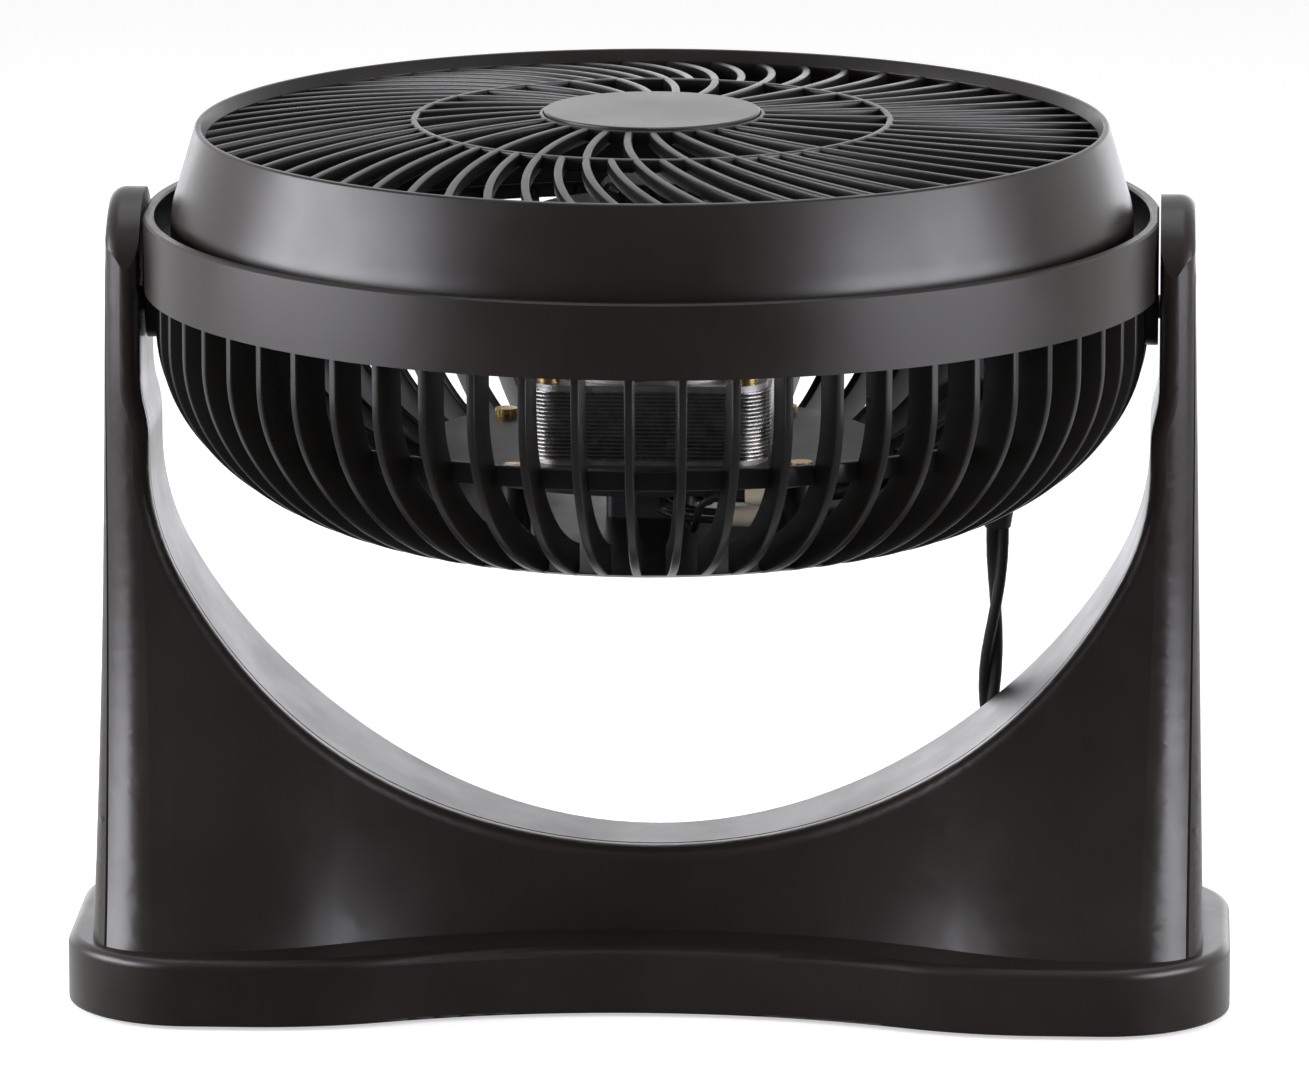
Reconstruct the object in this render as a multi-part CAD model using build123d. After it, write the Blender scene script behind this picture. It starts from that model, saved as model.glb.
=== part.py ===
"""Tabletop air circulator fan with a head that tilts between two arms, in millimetres.

Frame: origin at the middle of the resting plane, +Z up, +X to the right, the front faces -Y.
The head is drawn facing straight up, so its own axis is the Z axis.
"""

import os
from math import acos, cos, degrees, hypot, pi, radians, sin, sqrt, tan

from build123d import *

# ---------------------------------------------------------------- general fits
fit_gap = 0.05            # radial gap of a screw, shaft or bush in its bore
face_gap = 0.3            # gap between faces that pass each other
cut_over = 1.0            # how far a cutting tool runs past the face it cuts
screw_radius = 1.45
screw_head_radius = 2.8
screw_head_height = 2.0

# ---------------------------------------------------------------- base
base_half_length = 145.3
base_bottom = 1.0         # the shell clears the table, the rubber feet carry it
base_top = 18.0
base_wall = 2.6
base_middle = 34.0        # half depth in the hollow of the front edge
base_lobe = 52.5          # half depth at the lobes
base_lobe_x = 98.0
base_corner = 32.0
base_top_round = 2.5
base_bottom_round = 0.8
lobe_swing = 0.66         # where the hollow turns into the lobe, as a share of the way
bottom_plate_low = 1.6
bottom_plate_high = 4.0
foot_radius = 9.0
foot_pocket = 1.0
foot_x = 120.0
foot_y = 32.0
base_boss_radius = 4.0
base_boss_x = 88.0
base_boss_y = 36.0

# ---------------------------------------------------------------- stand
stand_wall = 2.6
stand_top = 203.0
stand_foot_half = 138.5
stand_draw_in = 0.0205    # how much each side leans in per millimetre of height
web_half_depth = 15.2
arm_half_foot = 44.0
arm_half_top = 22.0
arm_lobe_x = 118.0
arm_flare_top = 127.0     # above this height the arms keep their depth
arm_corner_foot = 16.0
arm_corner_top = 6.0
arch_centre_z = 172.0
arch_radius = 133.0
arch_shoulder = 60.0
arch_side = 124.2
arch_relief_low = 143.0   # from here up the arms draw back to clear the tilting head
arch_relief_high = 158.0
arch_lip_round = 3.3      # round along the edges of the arch
arm_end_round = 4.0       # round at the outer end of each arm's top
seam_back = 5.0           # the front shell ends this far behind the front face
seam_width = 0.8
seam_depth = 1.2
seam_cap_drop = 2.0       # how far under the arm's top the seam turns upright
stand_post_radius = 4.5
stand_post_y = 24.0
stand_post_height = 30.0
seam_boss_radius = 5.0
seam_boss_places = ((108.0, 36.0), (40.0, 29.0))
seam_screw_head_y = 3.5
seam_screw_length = 15.0

# ---------------------------------------------------------------- tilt pivot
pivot_z = 175.0
pivot_face = 125.9        # outer face of the head's pivot boss
pivot_boss_radius = 9.6
pivot_screw_radius = 3.0
pivot_head_radius = 5.5
pivot_head_height = 2.2
bush_radius = 5.0
spring_washer_thick = 0.7
spring_washer_radius = 6.5
cap_radius = 8.0

# ---------------------------------------------------------------- head shell
band_outer = 126.5
band_wall = 2.8
band_low = 180.0
band_high = 198.5
band_ledge_low = 188.0
band_ledge = 2.0
rim_screw_radius = 1.0
rim_screw_head = 1.9
basket_outer = 123.4
basket_round_x = 70.4     # half axes of the quarter ellipse that the blades follow
basket_round_z = 51.5
basket_turn_z = 170.0
blade_count = 60
blade_thick = 2.2
blade_depth_side = 10.0
blade_depth_floor = 8.0
rim_low = 181.0
rim_high = 185.0
rim_inner = 117.0
hoop_radius = 109.3
hoop_thick = 2.4
hoop_low = 149.5
hoop_high = 154.5
back_radius = 78.0
back_thick = 4.0
back_flat = 56.0          # the underside is flat out to here, then curves up to the edge
back_edge = 0.3           # thickness at the edge

# ---------------------------------------------------------------- front grille and bezel
bezel_top = 220.2
bezel_lip_radius = 113.2
bezel_lip = 1.8
bezel_skirt_radius = 119.6
bezel_skirt_z = 199.0
bezel_wall = 2.4
bezel_flange_radius = 123.0
grille_rim_radius = 111.4
grille_rim_drop = 3.0     # the ribs end this far under the lip
grille_crown = 223.3
grille_thick = 3.4
grille_ribs = 60
rib_width = 2.1
rib_swirl = 0.255         # degrees of swirl per millimetre of radius
rib_phase = -91.1         # direction in which one rib crosses the mid ring
mid_ring_radius = 59.0
mid_ring_width = 1.8
hub_disc_radius = 28.0
badge_radius = 26.8
badge_thick = 1.8         # how deep it is let in
badge_proud = 0.4

# ---------------------------------------------------------------- fan and motor
fan_tip = 106.0
fan_blades = 5
fan_hub_radius = 33.0
fan_hub_wall = 2.2
fan_low = 171.0
fan_high = 198.0
fan_blade_thick = 2.6
fan_blade_spread = 29.0   # half chord across the blade, seen from the front
nut_radius = 13.0
nut_height = 8.5
shaft_radius = 4.0
shaft_low = 134.0
shaft_high = 204.0
rotor_radius = 15.6
air_gap = 0.5
stack_low = 141.0
stack_high = 158.0
stack_half = 30.5
stack_corner = 9.0
slot_inner = 18.5
slot_outer = 25.5
slot_angle = 48.0
winding_inner = 17.6
winding_outer = 26.0
winding_rise = 6.5
bracket_wall = 1.5
bracket_cup_radius = 28.5
bracket_rear_low = 132.0
bracket_front_high = 168.5
bearing_radius = 8.0
bearing_length = 6.0
motor_screw_place = 24.5
platform_radius = 58.0
platform_low = 137.5
platform_post_radius = 4.0
platform_post_place = 50.0
platform_post_turn = 50.0

# ---------------------------------------------------------------- switch and knob
switch_half = 11.0
switch_height = 8.0
spindle_radius = 2.95
knob_radius = 16.0
knob_height = 8.2
knob_round = 1.5
knob_grips = 18

# ---------------------------------------------------------------- cord
cord_width = 5.8
outlet_x = 86.0
outlet_y = 25.0
outlet_radius = 9.0
outlet_low = 121.5
outlet_high = 133.0
gland_end = 113.5
gland_body_radius = 4.6
gland_tip_radius = 3.3
gland_flange_radius = 6.5
gland_flange = 2.0
lead_radius = 0.9
lead_apart = 0.95         # half the distance between two wires in one connector
inner_cord_radius = 2.3
low_connector = (21.0, -52.0, 131.7)
high_connector = (25.5, -61.0, 139.3)
connector_radius = 2.5
connector_length = 8.5
cord_lift = 1.2           # the tie passes under the coil
coil_x = 64.0
coil_y = 108.0
coil_outer = 44.0
coil_pitch = 6.6
coil_layer_rise = 6.4
coil_half_turns = 6       # half turns in each of the two layers
coil_tuck = 1.6           # how much further in the climbing half turn ends
tie_thick = 0.8
tie_width = 5.0
plug_length = 30.0
plug_width = 18.0
plug_height = 13.0
plug_round = 3.0
blade_gap = 12.7
blade_long = 17.5
blade_wide = 6.3
blade_deep = 1.5

# ---------------------------------------------------------------- sizes that follow
sit = (Align.CENTER, Align.CENTER, Align.MIN)
cavity_top = base_top - base_wall
arm_face = pivot_face + face_gap + 0.1
arm_back = arm_face + stand_wall
band_inner = band_outer - band_wall
band_flat = pivot_face
back_low = basket_turn_z - basket_round_z
back_high = back_low + back_thick
platform_high = platform_low + 2.0
cord_radius = cord_width / 2
coil_low = cord_radius + cord_lift
coil_high = coil_low + coil_layer_rise
plug_z = plug_height / 2 + 0.1


def save(name, *pieces):
    """Write the solids of one sub-part to its own file."""
    solids = [solid for piece in pieces for solid in piece.solids()]
    shape = solids[0] if len(solids) == 1 else Compound(solids)
    export_step(shape, f"parts/{name}.step")


def rod(radius, low, high, x=0.0, y=0.0):
    """Upright round bar."""
    return Pos(x, y, low) * Cylinder(radius, high - low, align=sit)


def ring(inner, outer, low, high):
    """Upright round tube about the Z axis."""
    return rod(outer, low, high) - rod(inner, low - cut_over, high + cut_over)


def side_rod(radius, x_low, x_high, y=0.0, z=pivot_z):
    """Round bar along X."""
    return Pos(x_low, y, z) * Rot(0, 90, 0) * Cylinder(radius, x_high - x_low, align=sit)


def deep_rod(radius, y_low, y_high, x, z):
    """Round bar along Y."""
    return Pos(x, y_low, z) * Rot(-90, 0, 0) * Cylinder(radius, y_high - y_low, align=sit)


def both_sides(piece):
    """The piece and its mirror image on the other side."""
    return [piece, mirror(piece, about=Plane.YZ)]


def four_corners(x, y):
    """The same place in each of the four corners."""
    return [(sx * x, sy * y) for sx in (-1, 1) for sy in (-1, 1)]


def upright_screw(x, y, head_low, tip, head_down=True):
    """Screw along Z whose head lies below (head_down) or above its shank."""
    if head_down:
        head = rod(screw_head_radius, head_low, head_low + screw_head_height, x, y)
        return head + rod(screw_radius, head_low + screw_head_height - 0.1, tip, x, y)
    head = rod(screw_head_radius, head_low, head_low + screw_head_height, x, y)
    return head + rod(screw_radius, tip, head_low + 0.1, x, y)


# ---------------------------------------------------------------- outlines
def lobed_curve(side, middle, lobe_x, lobe):
    """Curve from the hollow middle of an edge out to its lobe; side is -1 front, 1 rear."""
    turn_x = lobe_swing * lobe_x
    turn_y = middle + lobe_swing * (lobe - middle)
    return [
        TangentArc((0, side * middle), (turn_x, side * turn_y), tangent=(1, 0)),
        TangentArc((lobe_x, side * lobe), (turn_x, side * turn_y), tangent=(-1, 0)),
    ]


def outline(middle, lobe_x, lobe, half, corner):
    """Whole outline with four lobes and round corners."""
    edges = []
    for side in (-1, 1):
        edges += lobed_curve(side, middle, lobe_x, lobe)
        edges += [
            Line((lobe_x, side * lobe), (half - corner, side * lobe)),
            TangentArc((half - corner, side * lobe), (half, side * (lobe - corner)), tangent=(1, 0)),
            Line((half, side * (lobe - corner)), (half, 0)),
        ]
    edges += [mirror(edge, about=Plane.YZ) for edge in edges]
    return make_face(edges)


def base_outline(inset=0.0):
    """Outline of the base, drawn in by inset all round."""
    return outline(base_middle - inset, base_lobe_x, base_lobe - inset,
                   base_half_length - inset, base_corner - inset)


# ---------------------------------------------------------------- base pieces
def stand_post_x():
    """The screw posts of the stand touch the inside of its end walls."""
    return stand_foot_half - stand_wall - stand_post_radius + cut_over


def make_base_shell():
    """Hollow base cover with bosses for the bottom plate and holes for the stand screws."""
    block = extrude(Pos(0, 0, base_bottom) * base_outline(), amount=base_top - base_bottom)
    block = fillet(block.edges().group_by(Axis.Z)[-1], base_top_round)
    block = fillet(block.edges().group_by(Axis.Z)[0], base_bottom_round)
    shell = block - extrude(base_outline(base_wall), amount=cavity_top)
    for x, y in four_corners(base_boss_x, base_boss_y):
        shell += rod(base_boss_radius, bottom_plate_high, cavity_top + 0.2, x, y)
        shell -= rod(screw_radius + fit_gap, bottom_plate_high - cut_over, cavity_top - 1, x, y)
    for x, y in four_corners(stand_post_x(), stand_post_y):
        shell -= rod(screw_radius + fit_gap, cavity_top - cut_over, base_top + cut_over, x, y)
    return shell


def make_bottom_plate():
    """Flat plate that closes the base, with pockets for the feet."""
    face = Pos(0, 0, bottom_plate_low) * base_outline(base_wall + face_gap)
    plate = extrude(face, amount=bottom_plate_high - bottom_plate_low)
    for x, y in four_corners(foot_x, foot_y):
        plate -= rod(foot_radius + 0.1, 0, bottom_plate_low + foot_pocket, x, y)
    for x, y in four_corners(base_boss_x, base_boss_y):
        plate -= rod(screw_radius + fit_gap, 0, bottom_plate_high + cut_over, x, y)
        plate -= rod(screw_head_radius + fit_gap, 0, bottom_plate_low + 1.2, x, y)
    return plate


def make_bottom_screws():
    """Four screws with thin heads sunk in the bottom plate."""
    screws = []
    for x, y in four_corners(base_boss_x, base_boss_y):
        head = rod(screw_head_radius, bottom_plate_low, bottom_plate_low + 1.2, x, y)
        screws.append(head + rod(screw_radius, bottom_plate_low + 1.0, cavity_top - 3, x, y))
    return screws


def make_rubber_feet():
    """Four round feet in their pockets."""
    return [rod(foot_radius, 0, bottom_plate_low + foot_pocket, x, y)
            for x, y in four_corners(foot_x, foot_y)]


def make_stand_screws():
    """Four screws up through the base cover into the posts of the stand."""
    return [upright_screw(x, y, cavity_top - screw_head_height, base_top + 16)
            for x, y in four_corners(stand_post_x(), stand_post_y)]


# ---------------------------------------------------------------- stand pieces
def arm_lobe(z):
    """Half depth of the arms at height z."""
    flare = max(0.0, (arm_flare_top - z) / (arm_flare_top - base_top))
    return arm_half_top + (arm_half_foot - arm_half_top) * flare ** 2


def stand_section(z, inset):
    """Level cut through the uncut stand block at height z."""
    rise = z - base_top
    half = stand_foot_half - stand_draw_in * rise
    share = min(1.0, rise / (stand_top - base_top))
    corner = arm_corner_foot + (arm_corner_top - arm_corner_foot) * share
    face = outline(web_half_depth - inset, arm_lobe_x, arm_lobe(z) - inset, half - inset,
                   corner - inset)
    return Pos(0, 0, z) * face


def seam_section(z, set_back):
    """Level cut through the space behind the seam, which follows the front face."""
    lobe = arm_lobe(z) - set_back
    far = 2 * stand_foot_half
    edges = lobed_curve(-1, web_half_depth - set_back, arm_lobe_x, lobe)
    edges += [Line((arm_lobe_x, -lobe), (far, -lobe)), Line((far, -lobe), (far, far)),
              Line((far, far), (0, far))]
    edges += [mirror(edge, about=Plane.YZ) for edge in edges]
    return Pos(0, 0, z) * make_face(edges)


def seam_block(set_back):
    """All the space behind the seam, which runs over the top of each arm behind its crest."""
    low = base_top - 8
    high = stand_top + 8
    levels = [low + (high - low) * step / 6 for step in range(7)]
    block = loft([seam_section(z, set_back) for z in levels])
    turn_z = stand_top - arm_half_top
    turn_y = set_back - seam_cap_drop
    below = Pos(0, 0, low - cut_over) * Box(400, 400, turn_z - low + cut_over, align=sit)
    curved = side_rod(arm_half_top - seam_cap_drop, -200, 200, turn_y, turn_z)
    upright = Pos(0, turn_y, turn_z) * Box(400, 200, 60, align=(Align.CENTER, Align.MIN, Align.MIN))
    return block & (below + curved + upright)


def arch_opening(grow=0.0):
    """Prism along Y that cuts the arch and the space between the arms.

    The arms stand at arch_side, and draw back to arm_face where the head turns.
    """
    centre_x = arch_side - arch_shoulder
    centre_span = arch_radius - arch_shoulder
    drop = sqrt(centre_span ** 2 - centre_x ** 2)
    shoulder_z = arch_centre_z - drop
    join_x = centre_x / centre_span * (arch_radius + grow)
    join_z = arch_centre_z - drop / centre_span * (arch_radius + grow)
    side = arch_side + grow
    wide = arm_face + grow
    top = stand_top + 2 * arm_half_top
    turn = ((side + wide) / 2, (arch_relief_low + arch_relief_high) / 2)
    half_edges = [
        Line((0, top), (wide, top)),
        Line((wide, top), (wide, arch_relief_high)),
        TangentArc((wide, arch_relief_high), turn, tangent=(0, -1)),
        TangentArc((side, arch_relief_low), turn, tangent=(0, 1)),
        Line((side, arch_relief_low), (side, shoulder_z)),
        TangentArc((side, shoulder_z), (join_x, join_z), tangent=(0, -1)),
    ]
    edges = half_edges + [mirror(edge, about=Plane.YZ) for edge in half_edges]
    edges.append(ThreePointArc((join_x, join_z), (0, arch_centre_z - arch_radius - grow),
                               (-join_x, join_z)))
    return extrude(Plane.XZ * make_face(edges), amount=2 * arm_half_foot, both=True)


def stand_solid(inset=0.0):
    """Stand without its hollow, each outside face drawn in by inset."""
    low = base_top - 4
    high = stand_top + 4
    levels = [low + (high - low) * step / 6 for step in range(7)]
    block = loft([stand_section(z, inset) for z in levels])
    turn_z = stand_top - arm_half_top
    end = stand_foot_half - stand_draw_in * (turn_z - base_top) - inset
    below = Pos(0, 0, low) * Box(400, 200, turn_z - low, align=sit)
    cap = side_rod(arm_half_top - inset, -end, end, z=turn_z)
    cap = fillet(cap.edges().filter_by(GeomType.CIRCLE), arm_end_round - inset)
    return block & (below + cap) - arch_opening(inset)


def rounded_stand():
    """Stand without its hollow, with the edges of the arch rounded."""
    opening = arch_opening()
    stand = stand_solid()
    lips = [edge for edge in stand.edges()
            if abs((edge % 0.5).Y) < 0.99 and opening.distance_to(Vertex(edge @ 0.5)) < 0.01]
    return fillet(lips, arch_lip_round)


def seam_bosses(inset_solid):
    """Screw bosses of the front and the rear shell, which meet at Y = 0."""
    front = []
    rear = []
    for place_x, place_z in seam_boss_places:
        for x in (-place_x, place_x):
            front.append(deep_rod(seam_boss_radius - 1, -60, 0, x, place_z) & inset_solid)
            rear.append(deep_rod(seam_boss_radius, face_gap, 60, x, place_z) & inset_solid)
    return front, rear


def make_stand():
    """Front and rear shell of the stand, parted by a fine groove behind the front face."""
    whole = rounded_stand()
    inner = stand_solid(stand_wall)
    skin_inside = stand_solid(seam_depth)
    foot_cut = Pos(0, 0, base_top) * Box(400, 200, 10, align=(Align.CENTER, Align.CENTER, Align.MAX))
    shell = whole - inner - foot_cut
    behind_seam = seam_block(seam_back)
    groove = behind_seam - seam_block(seam_back + seam_width) - skin_inside
    front = shell - behind_seam
    rear = (shell & behind_seam) - groove
    front_bosses, rear_bosses = seam_bosses(skin_inside)
    front = front + front_bosses
    rear = rear + rear_bosses
    for place_x, place_z in seam_boss_places:
        for x in (-place_x, place_x):
            front -= deep_rod(screw_radius + fit_gap, -seam_screw_length, cut_over, x, place_z)
            rear -= deep_rod(screw_radius + fit_gap, -cut_over, 60, x, place_z)
            rear -= deep_rod(screw_head_radius + 0.4, seam_screw_head_y, 60, x, place_z)
    for x, y in four_corners(stand_post_x(), stand_post_y):
        rear += rod(stand_post_radius, base_top, base_top + stand_post_height, x, y)
        rear -= rod(screw_radius + fit_gap, base_top - cut_over, base_top + 20, x, y)
    bush_hole = side_rod(bush_radius + fit_gap, arm_face - cut_over, arm_back + 0.5)
    cap_hole = side_rod(cap_radius + fit_gap, arm_back + 3, 150)
    rear = rear - both_sides(bush_hole) - both_sides(cap_hole)
    return front, rear


def make_seam_screws():
    """Four screws from the rear that hold the two shells together."""
    screws = []
    for place_x, place_z in seam_boss_places:
        for x in (-place_x, place_x):
            shank = deep_rod(screw_radius, seam_screw_head_y - seam_screw_length, seam_screw_head_y,
                             x, place_z)
            head = deep_rod(screw_head_radius, seam_screw_head_y, seam_screw_head_y + 2, x, place_z)
            screws.append(shank + head)
    return screws


# ---------------------------------------------------------------- pivot pieces
def make_pivot_bushes():
    """Nylon bush in the inner wall of each arm."""
    outer = side_rod(bush_radius, arm_face, arm_back)
    bore = side_rod(pivot_screw_radius + fit_gap, arm_face - cut_over, arm_back + cut_over)
    return both_sides(outer - bore)


def make_spring_washers():
    """Washer that presses the arm against the head."""
    low = arm_back + fit_gap
    disc = side_rod(spring_washer_radius, low, low + spring_washer_thick)
    bore = side_rod(pivot_screw_radius + fit_gap, low - cut_over, low + 2)
    return both_sides(disc - bore)


def make_pivot_screws():
    """Shoulder screw through the arm into the pivot boss of the head."""
    head_low = arm_back + spring_washer_thick + 2 * fit_gap
    shank = side_rod(pivot_screw_radius, pivot_face - 12, head_low)
    head = side_rod(pivot_head_radius, head_low, head_low + pivot_head_height)
    slot = Pos(head_low + pivot_head_height, 0, pivot_z) * Box(1.6, 8, 1.2)
    return both_sides(shank + head - slot)


def make_pivot_caps():
    """Flush cap in the outer wall of each arm, over the pivot screw."""
    outer_face = stand_foot_half - stand_draw_in * (pivot_z - base_top)
    low = outer_face - stand_wall + 0.2
    disc = side_rod(cap_radius, low, outer_face - 0.1)
    return both_sides(disc)


# ---------------------------------------------------------------- head shell pieces
def make_tilt_band():
    """Wide ring round the head, flat at the arms, with a ledge that clamps the grille."""
    band = ring(band_inner, band_outer, band_low, band_high)
    band += ring(bezel_skirt_radius + face_gap, band_inner + 0.5, band_ledge_low,
                 band_ledge_low + band_ledge)
    band &= Box(2 * band_flat, 400, 600)
    band = chamfer(band.edges().filter_by(GeomType.CIRCLE).group_by(Axis.Z)[-1], 0.5)
    for notch in both_sides(side_rod(pivot_boss_radius + face_gap, 100, 140)):
        band -= notch
    for x, y in rim_screw_places():
        band -= rod(rim_screw_radius + fit_gap, rim_high, band_ledge_low + 4, x, y)
    return band


def rim_screw_places():
    """Six places round the rim, clear of the pivots."""
    radius = band_inner - 2.0
    turns = [30 + 60 * step for step in range(6)]
    return [(radius * cos(radians(turn)), radius * sin(radians(turn))) for turn in turns]


def make_rim_screws():
    """Six thin-headed screws that clamp band, grille and basket together."""
    screws = []
    head_low = band_ledge_low + band_ledge
    for x, y in rim_screw_places():
        head = rod(rim_screw_head, head_low, head_low + 1.2, x, y)
        screws.append(head + rod(rim_screw_radius, rim_low + 0.5, head_low + 0.1, x, y))
    return screws


def quarter_round(half_x, half_z, top):
    """Region below a quarter ellipse, as one half of a bowl in section."""
    centre_x = basket_outer - basket_round_x
    edges = [
        Line((centre_x, top), (centre_x + half_x, top)),
        Line((centre_x + half_x, top), (centre_x + half_x, basket_turn_z)),
        EllipticalCenterArc((centre_x, basket_turn_z), half_x, half_z, -90, arc_size=90),
        Line((centre_x, basket_turn_z - half_z), (centre_x, top)),
    ]
    return make_face(edges)


def blade_section():
    """Side view of one blade of the basket, curving in from the rim to the back plate."""
    outer = quarter_round(basket_round_x, basket_round_z, rim_high - 1)
    inner = quarter_round(basket_round_x - blade_depth_side, basket_round_z - blade_depth_floor,
                          rim_high + 5)
    middle = Pos(0, basket_turn_z) * Rectangle(2 * (back_radius - 4), 200)
    return outer - inner - middle


def platform_posts():
    """Places of the four posts under the motor platform."""
    turns = [platform_post_turn + 90 * step for step in range(4)]
    return [(platform_post_place * cos(radians(turn)), platform_post_place * sin(radians(turn)))
            for turn in turns]


def make_back_plate():
    """Round plate whose underside curves up to meet the feet of the blades."""
    edge_z = back_high - back_edge
    core = back_flat / 2
    section = make_face([
        Line((core, back_low), (back_flat, back_low)),
        TangentArc((back_flat, back_low), (back_radius, edge_z), tangent=(1, 0)),
        Line((back_radius, edge_z), (back_radius, back_high)),
        Line((back_radius, back_high), (core, back_high)),
        Line((core, back_high), (core, back_low)),
    ])
    return revolve(Plane.XZ * section, Axis.Z) + rod(core + cut_over, back_low, back_high)


def make_rear_basket():
    """Bowl of upright blades with its rim, hoop, back plate, posts and pivot bosses."""
    blade = extrude(Plane.XZ * blade_section(), amount=blade_thick / 2, both=True)
    blades = [Rot(0, 0, step * 360 / blade_count) * blade for step in range(blade_count)]
    plate = make_back_plate()
    plate += [rod(platform_post_radius, back_high - 0.2, platform_low, x, y)
              for x, y in platform_posts()]
    outlet = rod(outlet_radius, outlet_low, outlet_high, outlet_x, outlet_y)
    bosses = both_sides(side_rod(pivot_boss_radius, rim_inner - 4, pivot_face))
    basket = ring(rim_inner, basket_outer, rim_low, rim_high)
    basket += ring(hoop_radius - hoop_thick, hoop_radius, hoop_low, hoop_high)
    basket = basket + blades + plate + outlet + bosses
    basket -= rod(spindle_radius + 0.35, back_low - cut_over, back_high + cut_over)
    basket -= rod(gland_body_radius + fit_gap, outlet_low - cut_over, outlet_high + cut_over,
                  outlet_x, outlet_y)
    basket -= rod(gland_flange_radius + face_gap, outlet_high, rim_low - hoop_thick,
                  outlet_x, outlet_y)
    for x, y in platform_posts():
        basket -= rod(screw_radius + fit_gap, back_high, platform_low + cut_over, x, y)
    for x, y in rim_screw_places():
        basket -= rod(rim_screw_radius + fit_gap, rim_low, rim_high + cut_over, x, y)
    for bore in both_sides(side_rod(pivot_screw_radius + fit_gap, pivot_face - 12.5, 140)):
        basket -= bore
    return basket


# ---------------------------------------------------------------- front grille
def dome_sheet():
    """Shallow spherical shell in which the ribs lie."""
    fall = grille_crown - (bezel_top - grille_rim_drop)
    dome_radius = (grille_rim_radius ** 2 + fall ** 2) / (2 * fall)
    centre = Pos(0, 0, grille_crown - dome_radius)
    return centre * (Sphere(dome_radius) - Sphere(dome_radius - grille_thick))


def rib_point(radius, turn):
    """Point of a swirled rib that crosses the mid ring at the direction turn."""
    angle = radians(turn + rib_swirl * (radius - mid_ring_radius))
    return (radius * cos(angle), radius * sin(angle))


def rib_face(turn, start):
    """Plan of one rib from the radius start out to the bezel."""
    end = grille_rim_radius + 0.6
    path = ThreePointArc(rib_point(start, turn), rib_point((start + end) / 2, turn),
                         rib_point(end, turn))
    return trace(path, rib_width)


def make_front_grille():
    """Bezel with its swirled ribs, mid ring and hub disc, one moulding."""
    section = make_face(Polyline(
        (bezel_lip_radius - bezel_lip, bezel_top), (bezel_lip_radius, bezel_top),
        (bezel_skirt_radius, bezel_skirt_z), (bezel_skirt_radius, band_ledge_low),
        (bezel_flange_radius, band_ledge_low), (bezel_flange_radius, rim_high),
        (rim_inner + 0.2, rim_high), (bezel_skirt_radius - bezel_wall, bezel_skirt_z),
        (grille_rim_radius, bezel_top - 6), (bezel_lip_radius - bezel_lip, bezel_top), close=False))
    bezel = revolve(Plane.XZ * section, Axis.Z)
    low = bezel_top - 12
    plan = Circle(hub_disc_radius)
    plan += Circle(mid_ring_radius + mid_ring_width / 2) - Circle(mid_ring_radius - mid_ring_width / 2)
    step = 360 / grille_ribs
    for number in range(grille_ribs):
        start = hub_disc_radius - 1 if number % 2 == 0 else mid_ring_radius
        plan += rib_face(rib_phase + number * step, start)
    ribs = extrude(Pos(0, 0, low) * plan, amount=grille_crown - low + 5)
    grille = bezel + (ribs & dome_sheet())
    grille -= rod(badge_radius + face_gap, grille_crown - badge_thick, grille_crown + 5)
    for x, y in rim_screw_places():
        grille -= rod(rim_screw_radius + fit_gap, rim_high - cut_over, band_ledge_low + cut_over, x, y)
    return grille


def make_centre_badge():
    """Plain disc in the middle of the grille."""
    disc = rod(badge_radius, grille_crown - badge_thick, grille_crown + badge_proud)
    return fillet(disc.edges().group_by(Axis.Z)[-1], badge_proud)


# ---------------------------------------------------------------- fan
def fan_blade_section(radius, drop):
    """Thin curved plate in a plane across the radius, pitched like a screw thread."""
    half = fan_blade_spread * radius / fan_tip + 6
    low = fan_low + 1 + drop
    high = fan_high - 2
    middle = (low + high) / 2
    edges = [
        ThreePointArc((-half, low), (0, middle - 2), (half, high)),
        ThreePointArc((half, high), (0, middle - 2 - fan_blade_thick), (-half, low)),
    ]
    return Plane((radius, 0, 0), x_dir=(0, 1, 0), z_dir=(1, 0, 0)) * make_face(edges)


def make_impeller():
    """Five wide blades on a cup-shaped hub."""
    root = fan_hub_radius - 3
    middle = (root + fan_tip) / 2
    blade = loft([fan_blade_section(root, 0), fan_blade_section(middle, 2),
                  fan_blade_section(fan_tip + 6, 4)])
    blades = [Rot(0, 0, step * 360 / fan_blades) * blade for step in range(fan_blades)]
    tip_trim = ring(fan_hub_radius - 1, fan_tip, fan_low, fan_high)
    hub = fillet(rod(fan_hub_radius, fan_low, fan_high).edges().group_by(Axis.Z)[-1], 3)
    hub -= rod(fan_hub_radius - fan_hub_wall, fan_low - cut_over, fan_high - fan_hub_wall)
    hub += rod(shaft_radius + 4, fan_high - 15, fan_high - 1)
    fan = hub + [piece & tip_trim for piece in blades]
    return fan - rod(shaft_radius + fit_gap, fan_low, fan_high + cut_over)


def make_impeller_nut():
    """Round nut with grip flutes that holds the impeller on the shaft."""
    low = fan_high + 0.1
    nut = fillet(rod(nut_radius, low, low + nut_height).edges().group_by(Axis.Z)[-1], 2.5)
    for number in range(12):
        nut -= Rot(0, 0, 30 * number) * rod(1.6, low - cut_over, low + nut_height + 1, nut_radius + 0.6)
    return nut - rod(shaft_radius + fit_gap, low - cut_over, shaft_high + 0.5)


# ---------------------------------------------------------------- motor
def motor_screw_bores(low, high):
    """Holes for the four long motor screws."""
    return [rod(screw_radius + fit_gap, low, high, x, y)
            for x, y in four_corners(motor_screw_place, motor_screw_place)]


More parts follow.
